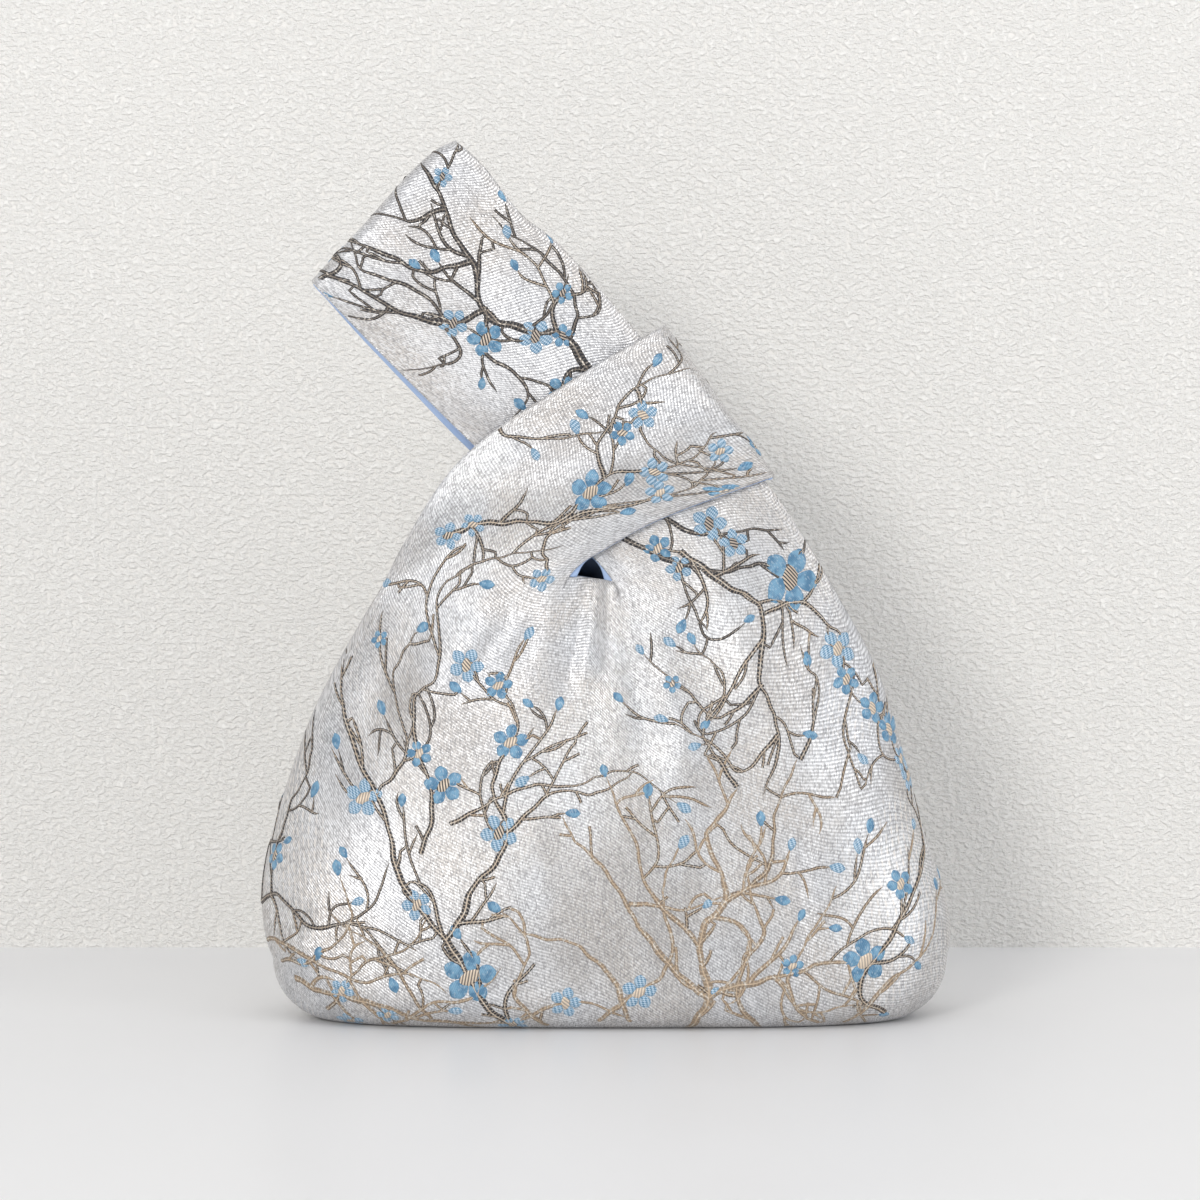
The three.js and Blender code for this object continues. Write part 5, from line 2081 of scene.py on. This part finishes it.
@dataclass(frozen=True)
class PlasterWall:
    """The wall behind: rough pale plaster, clear from its far side so that the bag's back can be seen."""

    colour: Colour = (0.85, 0.835, 0.805)
    # The colour of the painted shade in the plaster's hollows.
    painted_hollow_shade: Colour = (0.66, 0.61, 0.55)
    grain: tuple[float, float, float] = (420.0, 600.0, 420.0)
    relief: float = 0.9

    def material(self) -> Material:
        """Builds the finish.

        Returns:
            The material.
        """
        bench = FinishBench("plaster_wall")
        place = bench.node("TexCoord").outputs["Object"]
        spread = bench.node("Mapping", {"Vector": place, "Scale": self.grain}).outputs["Vector"]
        inputs = {"Vector": spread, "Scale": 1.0, "Detail": 3.0, "Roughness": 0.55, "Distortion": 0.1}
        rise = bench.ease(bench.node("TexNoise", inputs).outputs["Fac"], 0.34, 0.68)
        bench.raise_by(rise, self.relief, 0.8)
        # Painted shade in the plaster's hollows.
        colour = bench.blend(bench.ease(rise, 0.0, 0.5, 0.16, 0.0), self.colour, self.painted_hollow_shade)
        behind = bench.node("NewGeometry").outputs["Backfacing"]
        clear = bench.node("BsdfTransparent").outputs["BSDF"]
        one_way = bench.node("MixShader", {0: behind, 1: bench.shader.outputs["BSDF"], 2: clear})
        bench.put(bench.output.inputs["Surface"], one_way.outputs["Shader"])
        return bench.finish(Base_Color=colour, Roughness=0.9, Specular_IOR_Level=0.2)


@dataclass(frozen=True)
class PaleTable:
    """The table top: smooth white, faintly glossy."""

    colour: Colour = (0.80, 0.80, 0.805)

    def material(self) -> Material:
        """Builds the finish.

        Returns:
            The material.
        """
        bench = FinishBench("pale_table")
        place = bench.node("TexCoord").outputs["Object"]
        faint = bench.node("TexNoise", {"Vector": place, "Scale": 6.0, "Detail": 2.0}).outputs["Fac"]
        roughness = bench.ease(faint, 0.3, 0.7, 0.3, 0.4)
        return bench.finish(Base_Color=self.colour, Roughness=roughness, Specular_IOR_Level=0.4)


@dataclass
class ClothPanel:
    """One face's brocade and lining, cut alike and sewn together at their edges."""

    face: Face
    skin: PanelSkin
    outer: ClothPly = ClothPly(outside=0.0, thickness=1.05, seam_reach=0.0, hem_reach=0.0, mouth_reach=0.0)
    lining: ClothPly = ClothPly(
        outside=1.12, thickness=0.6, seam_reach=-0.3, hem_reach=-0.7, mouth_reach=0.4, mouth_flare=2.6)
    depth_run: float = 11.0

    def build(self, ground: Material, satin: Material) -> tuple[Piece, Piece]:
        """Builds and dresses both plies.

        Args:
            ground: The brocade's finish.
            satin: The lining's finish.

        Returns:
            The outer ply and the lining.
        """
        place = self.face.name.lower()
        outer = self.outer.build(f"{place}_brocade", self.skin)
        lining = self.lining.build(f"{place}_lining", self.skin)
        self.paint_inside_shade(lining)
        for piece, node, slot, finish in (
            (outer, "outer", "brocade", ground), (lining, "lining", "lining_satin", satin),
        ):
            piece.data.materials.append(finish)
            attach(piece, "root")
            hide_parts(f"{node}_{place}_panel")
        return outer, lining

    def paint_inside_shade(self, lining: Piece) -> None:
        """Notes how far inside the bag each lining point lies, from 0 at the mouth and on the straps, for the
        lining's painted shade.
        """
        cut, pouch = self.skin.cut, self.skin.pouch
        below = np.zeros(len(cut))
        below[pouch] = smoothstep(cut[pouch[-1]][None, :, 1] - cut[pouch][..., 1], 0.0, self.depth_run)
        note(lining, "depth", np.concatenate([below, below, below[np.array(list(self.skin.rims))]]))

    def declare(self, outer: Piece, lining: Piece, relief: Sequence[Piece]) -> None:
        """Measures the panel's flat size and area, and does nothing more with them.

        Args:
            outer: The brocade; not used.
            lining: The lining; not used.
            relief: The woven pieces on the brocade; not used.
        """
        width, length = self.skin.flat_size()
        for piece, carried in ((outer, relief), (lining, ())):
            self.skin.area()


@dataclass
class WovenCover:
    """The boughs, blossoms and buds woven into one face."""

    face: Face
    skin: PanelSkin
    boughs: tuple[Bough, ...]
    clusters: tuple[Cluster, ...]
    seed: int
    bud_share: float = 0.5

    def build(self, bough_thread: Material, petal_thread: Material, heart_thread: Material) -> list[Piece]:
        """Grows the pattern and lays it on the face.

        Args:
            bough_thread: The boughs' finish.
            petal_thread: The petals' and buds' finish.
            heart_thread: The hearts' finish.

        Returns:
            The boughs, the petals and the hearts, one mesh of each.
        """
        tree = PlumTree(ClothMask(self.skin), self.seed)
        for bough in self.boughs:
            tree.lay(bough)
        tree.set_blossoms(self.clusters)
        tree.set_buds(self.bud_share)
        cloth = FlatCloth(self.skin)
        place = self.face.name.lower()
        counts = len(tree.twigs), len(tree.blossoms), len(tree.buds)
        LOG.info("%s: %d twigs, %d blossoms, %d buds", place, *counts)
        pieces = []
        for part, weaving, finish in (
            ("boughs", WovenBoughs().weave(tree.twigs), bough_thread),
            ("petals", WovenPetals().weave(tree.blossoms, tree.buds), petal_thread),
            ("hearts", WovenHearts().weave(tree.blossoms), heart_thread),
        ):
            piece = weaving.build(f"{place}_woven_{part}", cloth)
            piece.data.materials.append(finish)
            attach(piece, "root")
            pieces.append(piece)
        return pieces


@dataclass(frozen=True)
class Lamp:
    """One soft rectangular lamp that faces the bag."""

    name: str
    place: tuple[float, float, float]
    size: float
    power: float
    colour: Colour = (1.0, 1.0, 1.0)

    def hang(self, aim: Vector) -> None:
        """Hangs the lamp and turns it to a point."""
        data = bpy.data.lights.new(self.name, "AREA")
        data.shape, data.size, data.energy, data.color = "SQUARE", self.size, self.power, self.colour
        lamp = bpy.data.objects.new(self.name, data)
        lamp.location = self.place
        lamp.rotation_euler = (aim - Vector(self.place)).to_track_quat("-Z", "Y").to_euler()
        bpy.context.scene.collection.objects.link(lamp)


@dataclass(frozen=True)
class Studio:
    """The camera, the lamps, the wall and the table."""

    aim: tuple[float, float, float] = (-0.002, 0.0, 0.1393)
    distance: float = 1.4
    elevation: float = 3.6
    lens: float = 126.0
    sensor: float = 36.0
    table_place: tuple[float, float, float] = (0, -1.3, 0)
    wall_place: tuple[float, float, float] = (0, 0.155, 1.2)
    stage_size: Place = (6.0, 3.0)
    sky: Colour = (0.95, 0.965, 1.0)
    sky_strength: float = 0.675
    lamps: tuple[Lamp, ...] = (
        Lamp("key", (-0.9, -2.35, 0.95), 0.62, 26.2, (1.0, 0.985, 0.955)),
        Lamp("overhead", (0.0, -0.75, 1.5), 1.1, 3.8),
        Lamp("right_fill", (1.3, -0.9, 0.5), 0.8, 4.8, (0.98, 0.99, 1.0)),
    )

    def build(self) -> None:
        """Builds the stage and sets the view."""
        scene = bpy.context.scene
        scene.view_settings.view_transform = "Standard"
        self.place_camera(scene)
        for lamp in self.lamps:
            lamp.hang(Vector(self.aim))
        world = bpy.data.worlds.new("studio")
        world.use_nodes = True
        background = world.node_tree.nodes["Background"]
        background.inputs["Color"].default_value = (*self.sky, 1.0)
        background.inputs["Strength"].default_value = self.sky_strength
        scene.world = world
        self.plane("table", self.table_place, 0.0, PaleTable().material())
        self.plane("wall", self.wall_place, math.pi / 2, PlasterWall().material())

    def place_camera(self, scene: bpy.types.Scene) -> None:
        """Places the scene's camera in front of the bag, a little above its middle."""
        data = bpy.data.cameras.new("camera")
        data.lens, data.sensor_width = self.lens, self.sensor
        camera = bpy.data.objects.new("camera", data)
        rise, aim = math.radians(self.elevation), Vector(self.aim)
        camera.location = aim + self.distance * Vector((0, -math.cos(rise), math.sin(rise)))
        camera.rotation_euler = (aim - camera.location).to_track_quat("-Z", "Y").to_euler()
        scene.collection.objects.link(camera)
        scene.camera = camera

    def plane(self, name: str, middle: tuple[float, float, float], tilt: float, finish: Material) -> None:
        """Makes one flat surface of the stage.

        Args:
            name: The surface's name.
            middle: Where its middle is.
            tilt: How far it is tipped up, in radians.
            finish: Its finish.
        """
        mesh = bpy.data.meshes.new(name)
        x, y = (size / 2 for size in self.stage_size)
        mesh.from_pydata([(-x, -y, 0), (x, -y, 0), (x, y, 0), (-x, y, 0)], [], [(0, 1, 2, 3)])
        mesh.materials.append(finish)
        surface = bpy.data.objects.new(name, mesh)
        surface.location = middle
        surface.rotation_euler = (tilt, 0, 0)
        bpy.context.scene.collection.objects.link(surface)


def main() -> None:
    """Builds the studio, both faces and their woven patterns, and reports each piece."""
    logging.basicConfig(level=logging.INFO, format="%(name)s: %(message)s")
    Studio().build()
    pattern, fineness = BagPattern(), Fineness()
    ground, satin = BrocadeGround().material(), LiningSatin().material()
    threads = (BoughThread().material(), PetalThread().material(), HeartThread().material())
    faces = (
        (Face.FRONT, FRONT_CREASES, FRONT_BOUGHS, FRONT_CLUSTERS, 11),
        (Face.BACK, BACK_CREASES, BACK_BOUGHS, BACK_CLUSTERS, 23),
    )
    for face, creases, boughs, clusters, seed in faces:
        skin = PanelSkin(pattern, face, creases, fineness)
        panel = ClothPanel(face, skin)
        outer, lining = panel.build(ground, satin)
        relief = WovenCover(face, skin, boughs, clusters, seed).build(*threads)
        panel.declare(outer, lining, relief)
        for piece in (outer, lining, *relief):
            LOG.info("%s: %d faces", piece.name, len(piece.data.polygons))


if __name__ == "__main__":
    main()
